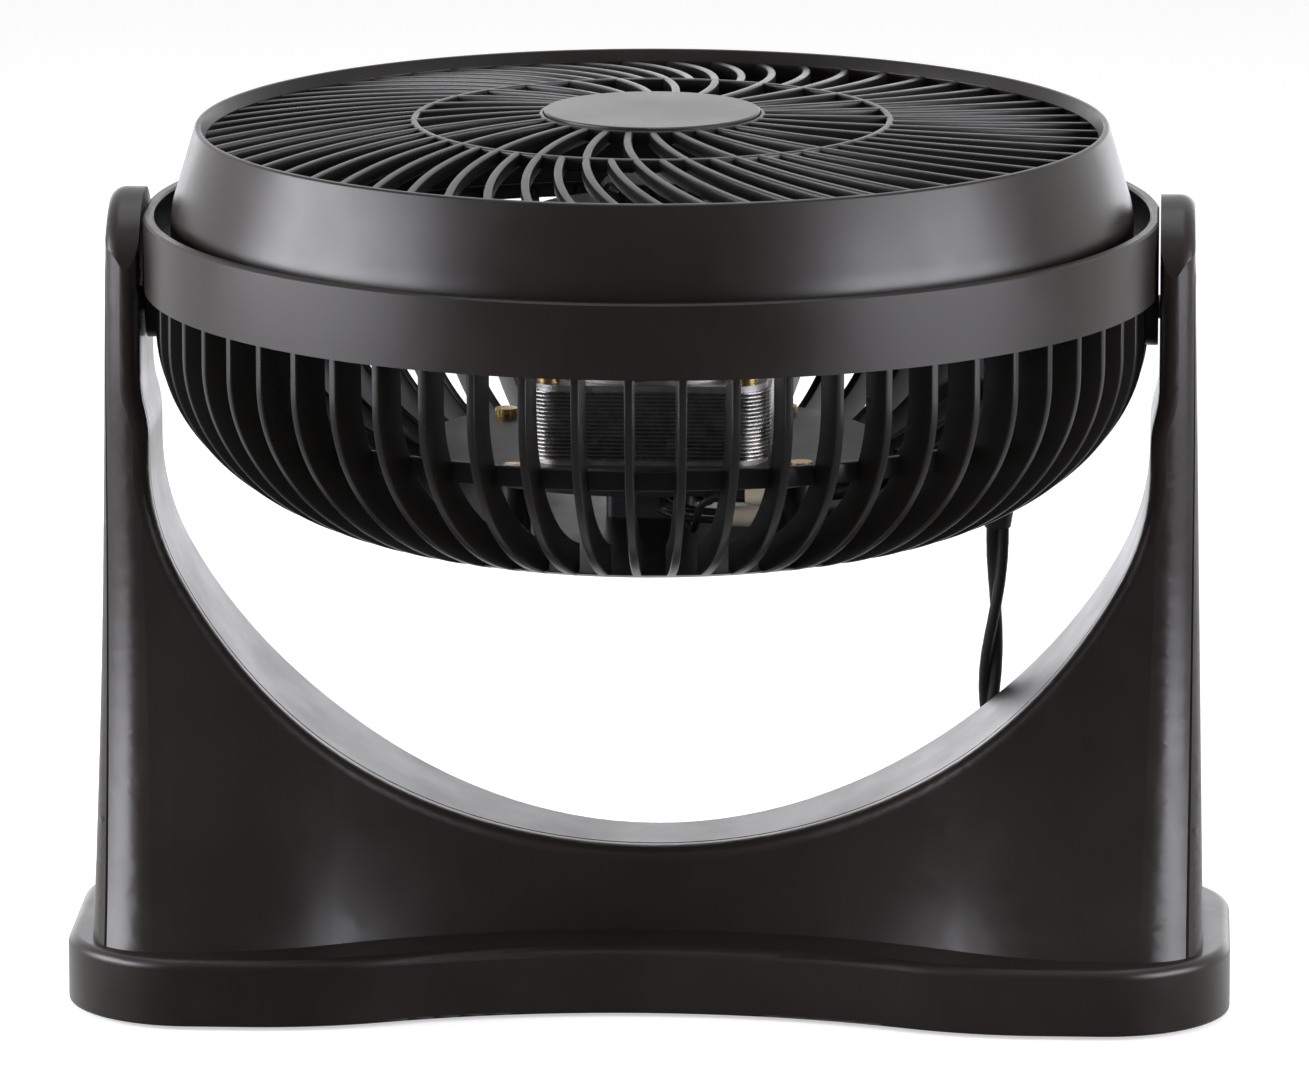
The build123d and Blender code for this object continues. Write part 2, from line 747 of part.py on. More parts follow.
def slot_sector(inner, outer, angle, low, high, turn):
    """Upright sector between two radii, one winding slot."""
    sector = ring(inner, outer, low, high)
    reach = outer * 1.5
    edge = reach * tan(radians(angle / 2))
    wedge = extrude(Pos(0, 0, low) * make_face(Polyline((0, 0), (reach, edge), (reach, -edge), (0, 0))),
                    amount=high - low)
    return Rot(0, 0, turn) * (sector & wedge)


def make_stator_stack():
    """Laminated stack with round corners, bore and four winding slots."""
    block = extrude(Pos(0, 0, stack_low) * RectangleRounded(2 * stack_half, 2 * stack_half, stack_corner),
                    amount=stack_high - stack_low)
    stack = block - rod(rotor_radius + air_gap, stack_low - cut_over, stack_high + cut_over)
    for number in range(4):
        stack -= slot_sector(slot_inner, slot_outer, slot_angle, stack_low - cut_over,
                             stack_high + cut_over, 90 * number)
    for bore in motor_screw_bores(stack_low - cut_over, stack_high + cut_over):
        stack -= bore
    return stack


def make_windings():
    """Copper end turns above and below the stack, joined through the slots."""
    coil = ring(winding_inner, winding_outer, stack_low - winding_rise, stack_low)
    coil += ring(winding_inner, winding_outer, stack_high, stack_high + winding_rise)
    for number in range(4):
        coil += slot_sector(slot_inner + 0.2, slot_outer - 0.2, slot_angle - 2, stack_low - 1,
                            stack_high + 1, 90 * number)
    ends = coil.edges().filter_by(GeomType.CIRCLE).sort_by(Axis.Z)
    return fillet([ends[0], ends[1], ends[-1], ends[-2]], 1.6)


def make_rear_bracket():
    """Pressed cup under the stack that carries the rear bearing."""
    flange = extrude(Pos(0, 0, platform_high) * RectangleRounded(
        2 * stack_half - 2, 2 * stack_half - 2, stack_corner), amount=stack_low - platform_high)
    flange -= rod(bracket_cup_radius - bracket_wall, platform_high - cut_over, stack_low + cut_over)
    cup = ring(bracket_cup_radius - bracket_wall, bracket_cup_radius, bracket_rear_low, stack_low)
    floor = rod(bracket_cup_radius, bracket_rear_low, bracket_rear_low + bracket_wall)
    holder = rod(bearing_radius + 2, bracket_rear_low, shaft_low + bearing_length)
    bracket = flange + cup + floor + holder
    bracket -= rod(bearing_radius + fit_gap, shaft_low, stack_low)
    for bore in motor_screw_bores(platform_high - cut_over, stack_low + cut_over):
        bracket -= bore
    return bracket


def make_front_bracket():
    """Pressed cover over the stack that carries the front bearing."""
    flange = extrude(Pos(0, 0, stack_high) * RectangleRounded(
        2 * stack_half - 2, 2 * stack_half - 2, stack_corner), amount=bracket_wall)
    cover = rod(bracket_cup_radius, stack_high, bracket_front_high)
    cover = fillet(cover.edges().group_by(Axis.Z)[-1], 2.5)
    cover -= rod(bracket_cup_radius - bracket_wall, stack_high - cut_over,
                 bracket_front_high - bracket_wall)
    flange -= rod(bracket_cup_radius - bracket_wall, stack_high - cut_over, stack_high + 3)
    holder = rod(bearing_radius + 2, bracket_front_high - bearing_length - bracket_wall,
                 bracket_front_high - 1)
    bracket = flange + cover + holder
    bracket -= rod(bearing_radius + fit_gap, stack_high, bracket_front_high - bracket_wall)
    bracket -= rod(shaft_radius + 0.5, stack_high, bracket_front_high + cut_over)
    for bore in motor_screw_bores(stack_high - cut_over, stack_high + 3):
        bracket -= bore
    return bracket


def make_bearings():
    """Two sintered sleeve bearings."""
    rear = ring(shaft_radius + fit_gap, bearing_radius, shaft_low, shaft_low + bearing_length)
    front_top = bracket_front_high - bracket_wall
    front = ring(shaft_radius + fit_gap, bearing_radius, front_top - bearing_length, front_top)
    return [rear, front]


def make_motor_screws():
    """Four long screws through both brackets and the stack into the platform."""
    head_low = stack_high + bracket_wall
    return [upright_screw(x, y, head_low, platform_low - 1.5, head_down=False)
            for x, y in four_corners(motor_screw_place, motor_screw_place)]


def make_motor_platform():
    """Round plate on four posts that carries the motor."""
    plate = ring(bracket_cup_radius + face_gap, platform_radius, platform_low, platform_high)
    for x, y in platform_posts():
        plate -= rod(screw_radius + fit_gap, platform_low - cut_over, platform_high + cut_over, x, y)
    for bore in motor_screw_bores(platform_low - cut_over, platform_high + cut_over):
        plate -= bore
    return plate


def make_platform_screws():
    """Four screws that hold the platform on its posts."""
    return [upright_screw(x, y, platform_high, platform_low - 9, head_down=False)
            for x, y in platform_posts()]


# ---------------------------------------------------------------- switch and knob
def make_rotary_switch():
    """Square switch body on the back plate, over the hole for its spindle."""
    body = extrude(Pos(0, 0, back_high) * RectangleRounded(2 * switch_half, 2 * switch_half, 2),
                   amount=switch_height)
    body = chamfer(body.edges().group_by(Axis.Z)[-1], 0.8)
    return body - rod(spindle_radius + fit_gap, back_high - cut_over, back_high + switch_height - 2)


def make_switch_spindle():
    """Plastic spindle from the switch into the knob."""
    return rod(spindle_radius, back_low - face_gap - knob_height + 3, back_high + switch_height - 2.3)


def make_speed_knob():
    """Round knob with grip flutes and one pointer rib."""
    high = back_low - face_gap
    low = high - knob_height
    knob = fillet(rod(knob_radius, low, high).edges().group_by(Axis.Z)[0], knob_round)
    for number in range(knob_grips):
        turn = Rot(0, 0, (number + 0.5) * 360 / knob_grips)
        knob -= turn * rod(1.5, low - cut_over, high - 1.5, knob_radius + 0.7)
    knob += Pos(0, -knob_radius / 2 - 1, low + 0.1) * Box(2.4, knob_radius - 4, 0.6, align=(
        Align.CENTER, Align.CENTER, Align.MAX))
    return knob - rod(spindle_radius + fit_gap, low + 2.9, high + cut_over)


# ---------------------------------------------------------------- wires and cord
def bend_radii(points):
    """Largest even radius at each corner of a route, and the turn there in degrees."""
    radii = []
    for before, corner, after in zip(points, points[1:], points[2:]):
        run_in = Vector(*corner) - Vector(*before)
        run_out = Vector(*after) - Vector(*corner)
        turn = run_in.get_angle(run_out)
        radii.append(0.45 * min(run_in.length, run_out.length) / tan(radians(turn / 2)))
    return radii


def tube(name, points, radius):
    """Round tube along straight runs joined by tangent arcs; prints its bends and volume."""
    radii = bend_radii(points)
    path = FilletPolyline(*points, radius=radii)
    section = Plane(path @ 0, z_dir=path % 0) * Circle(radius)
    body = sweep(section, path=path)
    expected = pi * radius ** 2 * path.length
    print(f"{name}: length {path.length:.1f} least radius {min(radii):.1f} "
          f"volume share {body.volume / expected:.4f} lowest {body.bounding_box().min.Z:.2f}")
    return body


cord_route = [
    (outlet_x, outlet_y, gland_end), (outlet_x, outlet_y, 101.0), (85.3, 27.0, 88.0), (84.3, 30.8, 75.0),
    (83.6, 35.6, 62.0), (84.4, 42.2, 49.0), (87.2, 50.4, 36.8), (91.6, 59.4, 25.0),
    (97.6, 68.6, 14.6), (104.4, 79.0, 6.8), (coil_x + coil_outer, 90.6, coil_low),
    (coil_x + coil_outer, coil_y - cord_width, coil_low),
]
tail_route = [
    (coil_x - coil_outer, coil_y - cord_width, coil_high), (20.0, 91.5, coil_high),
    (16.6, 79.0, 9.7), (8.6, 69.4, 8.4), (-3.0, 63.6, 7.2), (-15.6, 62.0, plug_z),
    (-27.0, 62.0, plug_z),
]


def make_gland():
    """Tapered strain relief through the outlet pad of the basket."""
    edges = [
        Line((0, gland_end), (gland_tip_radius, gland_end)),
        Line((gland_tip_radius, gland_end), (gland_body_radius, outlet_low)),
        Line((gland_body_radius, outlet_low), (gland_body_radius, outlet_high)),
        Line((gland_body_radius, outlet_high), (gland_flange_radius, outlet_high)),
        Line((gland_flange_radius, outlet_high), (gland_flange_radius, outlet_high + gland_flange)),
        Line((gland_flange_radius, outlet_high + gland_flange), (0, outlet_high + gland_flange)),
        Line((0, outlet_high + gland_flange), (0, gland_end)),
    ]
    return Pos(outlet_x, outlet_y) * revolve(Plane.XZ * make_face(edges), Axis.Z)


def half_turn(start, radius, side):
    """Level half circle, counter-clockwise; side is 1 from the right, -1 from the left."""
    x, y, z = start
    top = (x - side * radius, y + side * radius, z)
    end = (x - side * 2 * radius, y, z)
    return ThreePointArc(start, top, end), end


def coil_edges():
    """Two layers of turns: in along the lower one, up at the middle, out along the upper one."""
    reaches = [coil_outer - step * coil_pitch / 2 for step in range(coil_half_turns + 1)]
    place = (coil_x + coil_outer, coil_y, coil_low)
    edges = [Line((place[0], coil_y - cord_width, coil_low), place)]
    side = 1
    for reach, following in zip(reaches, reaches[1:]):
        arc, place = half_turn(place, (reach + following) / 2, side)
        edges.append(arc)
        side = -side
    reaches[-1] -= coil_tuck
    climb = reaches[-1] + coil_tuck / 2
    middle = (place[0] - side * climb, coil_y + side * sqrt(climb ** 2 + coil_layer_rise ** 2 / 4),
              coil_low + coil_layer_rise / 2)
    end = (place[0] - side * 2 * climb, coil_y, coil_high)
    edges.append(TangentArc(place, middle, tangent=(0, side, 0)))
    edges.append(TangentArc(end, middle, tangent=(0, side, 0)))
    place = end
    for reach, following in zip(reaches[::-1], reaches[-2::-1]):
        side = -side
        arc, place = half_turn(place, (reach + following) / 2, side)
        edges.append(arc)
    edges.append(Line(place, (place[0], coil_y - cord_width, coil_high)))
    return edges


def least_self_gap(path, spacing, skip):
    """Least distance between two places of a path that are further apart than skip along it."""
    count = int(path.length / spacing)
    points = [path @ (number / count) for number in range(count + 1)]
    away = int(skip / spacing)
    return min((points[a] - points[b]).length
               for a in range(len(points)) for b in range(a + away, len(points)))


def make_cord_coil():
    """The put-away length of cord, wound in two layers."""
    path = Wire(coil_edges())
    section = Plane(path @ 0, z_dir=path % 0) * Circle(cord_radius)
    body = sweep(section, path=path)
    gap = least_self_gap(path, 4.0, 6 * cord_width) - cord_width
    print(f"cord_coil: length {path.length:.1f} least gap to itself {gap:.2f} "
          f"volume share {body.volume / (pi * cord_radius ** 2 * path.length):.4f}")
    return body


def make_coil_tie():
    """Strap round the turns at the far side of the coil."""
    inner_reach = coil_outer - coil_half_turns * coil_pitch / 2 - cord_radius
    outer_reach = coil_outer + cord_radius
    low = coil_low - cord_radius - face_gap
    high = coil_high + cord_radius + face_gap
    long = outer_reach - inner_reach + 2.4
    middle_y = coil_y + (outer_reach + inner_reach) / 2
    inside = Box(tie_width, long, high - low)
    outside = Box(tie_width, long + 2 * tie_thick, high - low + 2 * tie_thick)
    outside = fillet(outside.edges().filter_by(Axis.X), 2.0)
    inside = fillet(Box(tie_width + 2, long, high - low).edges().filter_by(Axis.X), 1.3)
    return Pos(coil_x, middle_y, (low + high) / 2) * (outside - inside)


def make_plug():
    """Moulded two-pole plug body lying on the floor, with its tapered cord entry."""
    entry_x, entry_y, entry_z = tail_route[-1]
    body = Box(plug_length, plug_width, plug_height)
    body = fillet(body.edges().filter_by(Axis.X), plug_round)
    body = fillet(body.edges().group_by(Axis.X)[-1], plug_round - 0.6)
    front_x = entry_x - 12
    body = Pos(front_x - plug_length / 2, entry_y, entry_z) * body
    neck = Pos(front_x - 1, entry_y, entry_z) * Rot(0, 90, 0) * Cone(4.9, cord_radius + 0.4, 13, align=sit)
    return body + neck


def make_plug_blades():
    """Two flat blades at the far face of the plug."""
    entry_x, entry_y, entry_z = tail_route[-1]
    face_x = entry_x - 12 - plug_length
    blades = []
    for side in (-1, 1):
        place = Pos(face_x - blade_long / 2, entry_y + side * blade_gap / 2, entry_z)
        blades.append(place * Box(blade_long, blade_deep, blade_wide))
    return blades


def make_lead_wires():
    """Wires inside the head: cord end to the switch, and switch and motor to the connectors."""
    top = outlet_high + gland_flange
    inner = tube("inner cord", [
        (outlet_x, outlet_y, top), (outlet_x, outlet_y, 144.0), (81.0, 23.3, 151.0),
        (72.5, 20.6, 150.5), (66.8, 18.6, 143.5), (64.0, 16.0, 134.0), (57.5, 12.0, 127.3),
        (44.0, 6.5, 125.6), (28.0, 2.0, 126.2), (switch_half, 2.0, 126.2)], inner_cord_radius)
    x, y, z = low_connector
    leads = [inner, tube("switch lead 1", [
        (3, -switch_half, 127.4), (3, -24, 127.4), (5, -40, 130), (10, y, z - lead_apart),
        (x, y, z - lead_apart)], lead_radius)]
    leads.append(tube("motor lead 1", [
        (4, -28.7, 135.2), (5, -39, 134.6), (10.5, y, z + lead_apart), (x, y, z + lead_apart)],
        lead_radius))
    x, y, z = high_connector
    leads.append(tube("switch lead 2", [
        (8, -switch_half, 127.4), (8, -27, 127.4), (11.5, -43, 127), (13, -57, 129),
        (15, y - lead_apart, z), (x, y - lead_apart, z)], lead_radius))
    leads.append(tube("motor lead 2", [
        (10, -27, 135.2), (12.5, -41, 134.9), (16, -54.5, 134.9), (18.5, y + lead_apart, z),
        (x, y + lead_apart, z)], lead_radius))
    return leads


def make_wire_connectors():
    """Two closed end caps over the joined wires."""
    caps = []
    for x, y, z in (low_connector, high_connector):
        cap = Cylinder(connector_radius, connector_length, align=sit)
        cap = fillet(cap.edges().group_by(Axis.Z)[-1], 1.2)
        caps.append(Pos(x + fit_gap, y, z) * Rot(0, 90, 0) * cap)
    return caps


# ---------------------------------------------------------------- write every piece
def main():
    """Build each sub-part and write it to its own file."""
    os.makedirs("parts", exist_ok=True)
    save("base_shell", make_base_shell())
    save("bottom_plate", make_bottom_plate())
    save("bottom_screws", *make_bottom_screws())
    save("rubber_feet", *make_rubber_feet())
    save("stand_screws", *make_stand_screws())
    stand_front, stand_rear = make_stand()
    save("stand_front", stand_front)
    save("stand_rear", stand_rear)
    save("seam_screws", *make_seam_screws())
    save("pivot_bushes", *make_pivot_bushes())
    save("spring_washers", *make_spring_washers())
    save("pivot_screws", *make_pivot_screws())
    save("pivot_caps", *make_pivot_caps())
    save("tilt_band", make_tilt_band())
    save("rim_screws", *make_rim_screws())
    save("rear_basket", make_rear_basket())
    save("front_grille", make_front_grille())
    save("centre_badge", make_centre_badge())
    save("impeller", make_impeller())
    save("impeller_nut", make_impeller_nut())
    save("motor_shaft", rod(shaft_radius, shaft_low, shaft_high))
    save("rotor", ring(shaft_radius + fit_gap, rotor_radius, stack_low, stack_high))
    save("stator_stack", make_stator_stack())
    save("windings", make_windings())
    save("rear_bracket", make_rear_bracket())
    save("front_bracket", make_front_bracket())
    save("bearings", *make_bearings())
    save("motor_screws", *make_motor_screws())
    save("motor_platform", make_motor_platform())
    save("platform_screws", *make_platform_screws())
    save("rotary_switch", make_rotary_switch())
    save("switch_spindle", make_switch_spindle())
    save("speed_knob", make_speed_knob())
    save("lead_wires", *make_lead_wires())
    save("wire_connectors", *make_wire_connectors())
    save("cord_gland", make_gland())
    save("cord", tube("cord", cord_route, cord_radius))
    save("cord_coil", make_cord_coil())
    save("coil_tie", make_coil_tie())
    save("cord_tail", tube("cord_tail", tail_route, cord_radius))
    save("plug", make_plug())
    save("plug_blades", *make_plug_blades())


if __name__ == "__main__":
    main()
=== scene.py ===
"""Looks of the tabletop air circulator fan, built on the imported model's frame.

Sizes of the pieces are written in millimetres and turned into metres when a mesh is made.
The camera, the lamps and the points that the cord's line passes are written in metres.
"""

from math import asin, cos, pi, radians, sin, sqrt, tan

import bpy
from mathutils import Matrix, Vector


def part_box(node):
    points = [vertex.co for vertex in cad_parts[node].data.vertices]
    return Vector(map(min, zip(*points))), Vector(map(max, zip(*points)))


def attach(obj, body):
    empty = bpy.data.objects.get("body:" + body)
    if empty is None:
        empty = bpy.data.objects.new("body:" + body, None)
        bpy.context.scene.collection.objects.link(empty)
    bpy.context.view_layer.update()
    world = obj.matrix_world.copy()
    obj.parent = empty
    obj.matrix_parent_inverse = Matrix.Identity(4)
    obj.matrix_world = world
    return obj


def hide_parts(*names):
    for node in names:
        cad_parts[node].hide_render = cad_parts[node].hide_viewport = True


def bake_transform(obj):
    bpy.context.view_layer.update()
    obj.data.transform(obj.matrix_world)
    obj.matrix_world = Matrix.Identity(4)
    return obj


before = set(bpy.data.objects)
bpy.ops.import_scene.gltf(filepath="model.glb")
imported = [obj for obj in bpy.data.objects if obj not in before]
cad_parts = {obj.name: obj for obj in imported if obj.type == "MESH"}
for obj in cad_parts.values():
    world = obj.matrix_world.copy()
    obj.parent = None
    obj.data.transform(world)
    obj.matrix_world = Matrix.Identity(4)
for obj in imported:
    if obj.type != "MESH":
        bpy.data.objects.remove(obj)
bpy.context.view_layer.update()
MM = 0.001

# ---------------------------------------------------------------- camera
CAMERA_YAW = 2.6          # degrees towards +X
CAMERA_RISE = 12.0        # degrees above the horizon
CAMERA_DISTANCE = 2.75
CAMERA_TARGET = Vector((0.0006, 0.0, 0.1145))
CAMERA_LENS = 302.5

# ---------------------------------------------------------------- head
RIB_COUNT = 60            # in the grille and in the basket
CROWN = 223.3             # top of the grille's dome
BEZEL_TOP = 220.2
BEZEL_LIP_DROP = 3.0      # the dome meets the bezel this far under its top
GRILLE_RIM = 111.4
RIB_END = 112.0           # the ribs run on into the bezel
MID_RING = 59.0
MID_RING_HALF = 0.9
RIB_SWIRL = 0.255         # degrees of swirl per millimetre of radius
RIB_PHASE = -91.1
RIB_DEPTH = 3.4
RIB_WIDTH = 2.1
HUB_RADIUS = 28.0
BADGE_SEAT = 27.1         # radius of the recess that holds the badge
BADGE_SEAT_DEPTH = 1.8
BEZEL_OUTLINE = [
    (110.7, 214.0), (110.7, BEZEL_TOP - BEZEL_LIP_DROP), (112.0, BEZEL_TOP),
    (113.3, BEZEL_TOP), (119.6, 199.0), (119.6, 188.0), (123.0, 188.0),
    (123.0, 185.0), (117.2, 185.0), (117.2, 199.0)]
BEZEL_ROUNDS = [0.3, 0.6, 0.5, 0.9, 26.0, 0.4, 0.4, 0.3, 0.3, 3.0]
BASKET_CENTRE = 53.0
BASKET_TURN = 170.0
BASKET_ROUND = (70.4, 51.5)
BASKET_INNER = (60.4, 43.5)
BASKET_RIM = [(117, 181), (123.4, 181), (123.4, 185), (117, 185)]
BASKET_HOOP = [(106.9, 149.5), (109.3, 149.5), (109.3, 154.5), (106.9, 154.5)]
BLADE_START = 74.0
BLADE_STRAIGHT = 175.0    # the blades run straight up from about here
BLADE_TOP = 184.0
BLADE_THICK = 2.2
PLATE_LOW = 118.5
PLATE_HIGH = 122.5
PLATE_HOLE = 3.3
PLATE_FLAT = 56.0         # the underside of the back plate curves up from here to its edge
PLATE_EDGE = (78.0, 122.2)
CORD_SLEEVE_PLACE = (86, 25)
CORD_SLEEVE = [(4.65, 121.5), (9, 121.5), (9, 133.2), (7.2, 133.2), (7.2, 133.0), (4.65, 133.0)]
POST_REACH = 50           # the posts that carry the motor platform
POST_TURN = 50            # direction of the first post in degrees
PLATE_POST = [(1.5, 122.3), (4.6, 122.3), (4.0, 124.5), (4.0, 137.5), (1.5, 137.5)]
PIVOT_HEIGHT = 175
PIVOT_BOSS = [(3.05, 113.0), (9.6, 113.0), (9.6, 125.9), (3.05, 125.9)]

# ---------------------------------------------------------------- windings
WIRE_RADIUS = 0.42
WOUND_INNER = 17.6
WOUND_OUTER = 26.0
WOUND_LAYERS = ((134.5, 141.0), (158.0, 164.5))
LEG_HEIGHTS = (140.5, 158.5)
LEG_INNER = 18.7
LEG_OUTER = 25.3
LEG_GROOVE = 0.25         # how deep the surface dips between two wires
LEG_HALF_ANGLE = 23       # degrees to each side of the middle of a leg
LEG_STEPS = 24

# ---------------------------------------------------------------- cord
CORD_WIDTH = 5.8          # across both cores
CORD_EXIT = (0.086, 0.025, 0.1135)
CORD_ROUTE = [
    CORD_EXIT, (0.086, 0.025, 0.101), (0.0853, 0.027, 0.088), (0.0843, 0.0308, 0.075),
    (0.0836, 0.0356, 0.062), (0.0844, 0.0422, 0.049), (0.0872, 0.0504, 0.0368),
    (0.0916, 0.0594, 0.025), (0.0976, 0.0686, 0.0146), (0.1044, 0.079, 0.0068),
    (0.108, 0.0906, 0.0041), (0.108, 0.1022, 0.0041)]
TAIL_ROUTE = [
    (0.020, 0.1022, 0.0105), (0.020, 0.0915, 0.0105), (0.0166, 0.079, 0.0097),
    (0.0086, 0.0694, 0.0084), (-0.003, 0.0636, 0.0072), (-0.0156, 0.062, 0.0066),
    (-0.027, 0.062, 0.0066)]
COIL_CENTRE = (64.0, 108.0)
COIL_REACHES = (44.0, 40.7, 37.4, 34.1, 30.8, 27.5, 24.2)   # one for each half turn inwards
COIL_CLIMB_END = 22.6     # reach at which the line arrives on the upper layer
COIL_LOW = 4.1            # heights of the two layers
COIL_HIGH = 10.5
COIL_STEPS = 8            # control points in half a turn
CORD_TWIST = 74.0         # length in which the flat cord turns once
CORD_WAIST = 0.72         # half thickness between the two cores
CORE_ARC = 118            # degrees of each core's round side, to either side of its middle
CORE_STEPS = 8
TWIST_START = 0.6         # radians by which the lead is turned where it leaves the head
TIE_THICK = 0.8
TIE_CORNERS = (2.4, 1.7)  # radii outside and inside
TIE_EDGE = 0.25           # rounding of the tie's long edges

# ---------------------------------------------------------------- studio
LAMP_COLOUR = (0.98, 0.975, 1.05)
FLOOR_SIZE = 8.0
FLOOR_GLOW = 0.5          # seen by the camera only
WORLD_FILL = 0.42
DARK_FRONT = 0.05         # brightness of the sky in reflections from the front
HIGH_FRONT = 0.5          # brightness of the sky in reflections from above


# ---------------------------------------------------------------- mesh code
def new_object(name, verts, faces, sharp=32):
    """Mesh object from points in millimetres, smooth except at edges sharper than the angle."""
    mesh = bpy.data.meshes.new(name)
    mesh.from_pydata([Vector(v) * MM for v in verts], [], faces)
    mesh.validate()
    mesh.polygons.foreach_set("use_smooth", [True] * len(mesh.polygons))
    mesh.set_sharp_from_angle(angle=radians(sharp))
    obj = bpy.data.objects.new(name, mesh)
    bpy.context.scene.collection.objects.link(obj)
    return obj


def skin(verts, faces, rings, wrap=False):
    """Adds the surface through rings of equally many points, closed at its ends or wrapped."""
    start = len(verts)
    count = len(rings[0])
    for one in rings:
        verts.extend(one)
    spans = len(rings) if wrap else len(rings) - 1
    for row in range(spans):
        a = start + row * count
        b = start + (row + 1) % len(rings) * count
        for k in range(count):
            n = (k + 1) % count
            faces.append((a + k, a + n, b + n, b + k))
    if not wrap:
        faces.append(tuple(range(start + count - 1, start - 1, -1)))
        faces.append(tuple(range(start + (len(rings) - 1) * count, start + len(rings) * count)))


def rounded(points, radius, steps=4):
    """Closed outline with its corners rounded; radius is one number or one for each corner."""
    radii = radius if isinstance(radius, (list, tuple)) else [radius] * len(points)
    out = []
    for k, corner in enumerate(points):
        corner = Vector(corner)
        before = Vector(points[k - 1]) - corner
        after = Vector(points[(k + 1) % len(points)]) - corner
        turn = before.angle(after)
        reach = radii[k] / tan(turn / 2)
        if radii[k] <= 0 or turn > pi - 0.01:
            out.append(tuple(corner))
            continue
        reach = min(reach, before.length * 0.49, after.length * 0.49)
        start = corner + before.normalized() * reach
        end = corner + after.normalized() * reach
        for s in range(steps + 1):
            t = s / steps
            point = start * (1 - t) ** 2 + corner * 2 * t * (1 - t) + end * t ** 2
            out.append(tuple(point))
    return out


def add_lathe(verts, faces, profile, count=180, place=(0, 0)):
    """Turns a closed outline of (radius, height) round the upright axis through place."""
    rings = []
    for k in range(count):
        angle = 2 * pi * k / count
        rings.append([(place[0] + r * cos(angle), place[1] + r * sin(angle), z)
                      for r, z in profile])
    skin(verts, faces, rings, wrap=True)


def add_disc(verts, faces, profile, count=96, place=(0, 0)):
    """Turns an outline that starts and ends on the axis; the ends close with a fan."""
    start = len(verts)
    body = profile[1:-1]
    for k in range(count):
        angle = 2 * pi * k / count
        verts.extend([(place[0] + r * cos(angle), place[1] + r * sin(angle), z) for r, z in body])
    size = len(body)
    first = len(verts)
    verts.append((place[0], place[1], profile[0][1]))
    verts.append((place[0], place[1], profile[-1][1]))
    for k in range(count):
        a = start + k * size
        b = start + (k + 1) % count * size
        for row in range(size - 1):
            faces.append((a + row, b + row, b + row + 1, a + row + 1))
        faces.append((first, b, a))
        faces.append((first + 1, a + size - 1, b + size - 1))


def turned(points, angle):
    """Points turned about the upright axis."""
    c, s = cos(angle), sin(angle)
    return [(x * c - y * s, x * s + y * c, z) for x, y, z in points]


# ---------------------------------------------------------------- camera and cord
def make_camera():
    """Long lens that looks down on the fan from the front, a little to the right."""
    yaw, rise = radians(CAMERA_YAW), radians(CAMERA_RISE)
    away = Vector((sin(yaw) * cos(rise), -cos(yaw) * cos(rise), sin(rise)))
    data = bpy.data.cameras.new("camera")
    data.sensor_width = 36
    data.lens = CAMERA_LENS
    data.clip_end = 50
    camera = bpy.data.objects.new("camera", data)
    bpy.context.scene.collection.objects.link(camera)
    camera.location = CAMERA_TARGET + CAMERA_DISTANCE * away
    camera.rotation_euler = away.to_track_quat("Z", "Y").to_euler()
    bpy.context.scene.camera = camera


def coil_points():
    """Control points of the put-away turns: in along the lower layer, out along the upper one."""
    halves = [(a, b, COIL_LOW, COIL_LOW) for a, b in zip(COIL_REACHES, COIL_REACHES[1:])]
    halves.append((COIL_REACHES[-1], COIL_CLIMB_END, COIL_LOW, COIL_HIGH))
    outward = (COIL_CLIMB_END,) + COIL_REACHES[-2::-1]
    halves += [(a, b, COIL_HIGH, COIL_HIGH) for a, b in zip(outward, outward[1:])]
    points = []
    for number, (a, b, low, high) in enumerate(halves):
        for step in range(COIL_STEPS):
            share = (step + 0.5) / COIL_STEPS
            reach = (a + b) / 2 + (a - b) / 2 * cos(share * pi)
            reach /= cos(pi / COIL_STEPS / 2)
            angle = (number + share) * pi
            points.append((COIL_CENTRE[0] * MM + reach * MM * cos(angle),
                           COIL_CENTRE[1] * MM + reach * MM * sin(angle),
                           (low + (high - low) * share) * MM))
    return points


def spline_points(points, resolution):
    """Points along one smooth line with these control points."""
    curve = bpy.data.curves.new("line", "CURVE")
    curve.dimensions = "3D"
    curve.resolution_u = resolution
    spline = curve.splines.new("NURBS")
    spline.points.add(len(points) - 1)
    for point, place in zip(spline.points, points):
        point.co = (*place, 1)
    spline.order_u = 3
    spline.use_endpoint_u = True
    line = bpy.data.objects.new("line", curve)
    mesh = bpy.data.meshes.new_from_object(line)
    found = [v.co.copy() for v in mesh.vertices]
    bpy.data.meshes.remove(mesh)
    bpy.data.objects.remove(line)
    bpy.data.curves.remove(curve)
    return found


def tube_rings(line, outline_at):
    """Rings of an outline carried along a line without turning by itself."""
    line = [Vector(p) / MM for p in line]
    heading = (line[1] - line[0]).normalized()
    side = heading.orthogonal().normalized()
    rings = []
    travelled = 0.0
    for k, place in enumerate(line):
        ahead = line[min(k + 1, len(line) - 1)] - line[max(k - 1, 0)]
        turn = heading.rotation_difference(ahead)
        side.rotate(turn)
        heading = ahead.normalized()
        side = (side - side.dot(heading) * heading).normalized()
        lift = heading.cross(side)
        if k:
            travelled += (place - line[k - 1]).length
        rings.append([place + u * side + v * lift for u, v in outline_at(travelled)])
    return rings


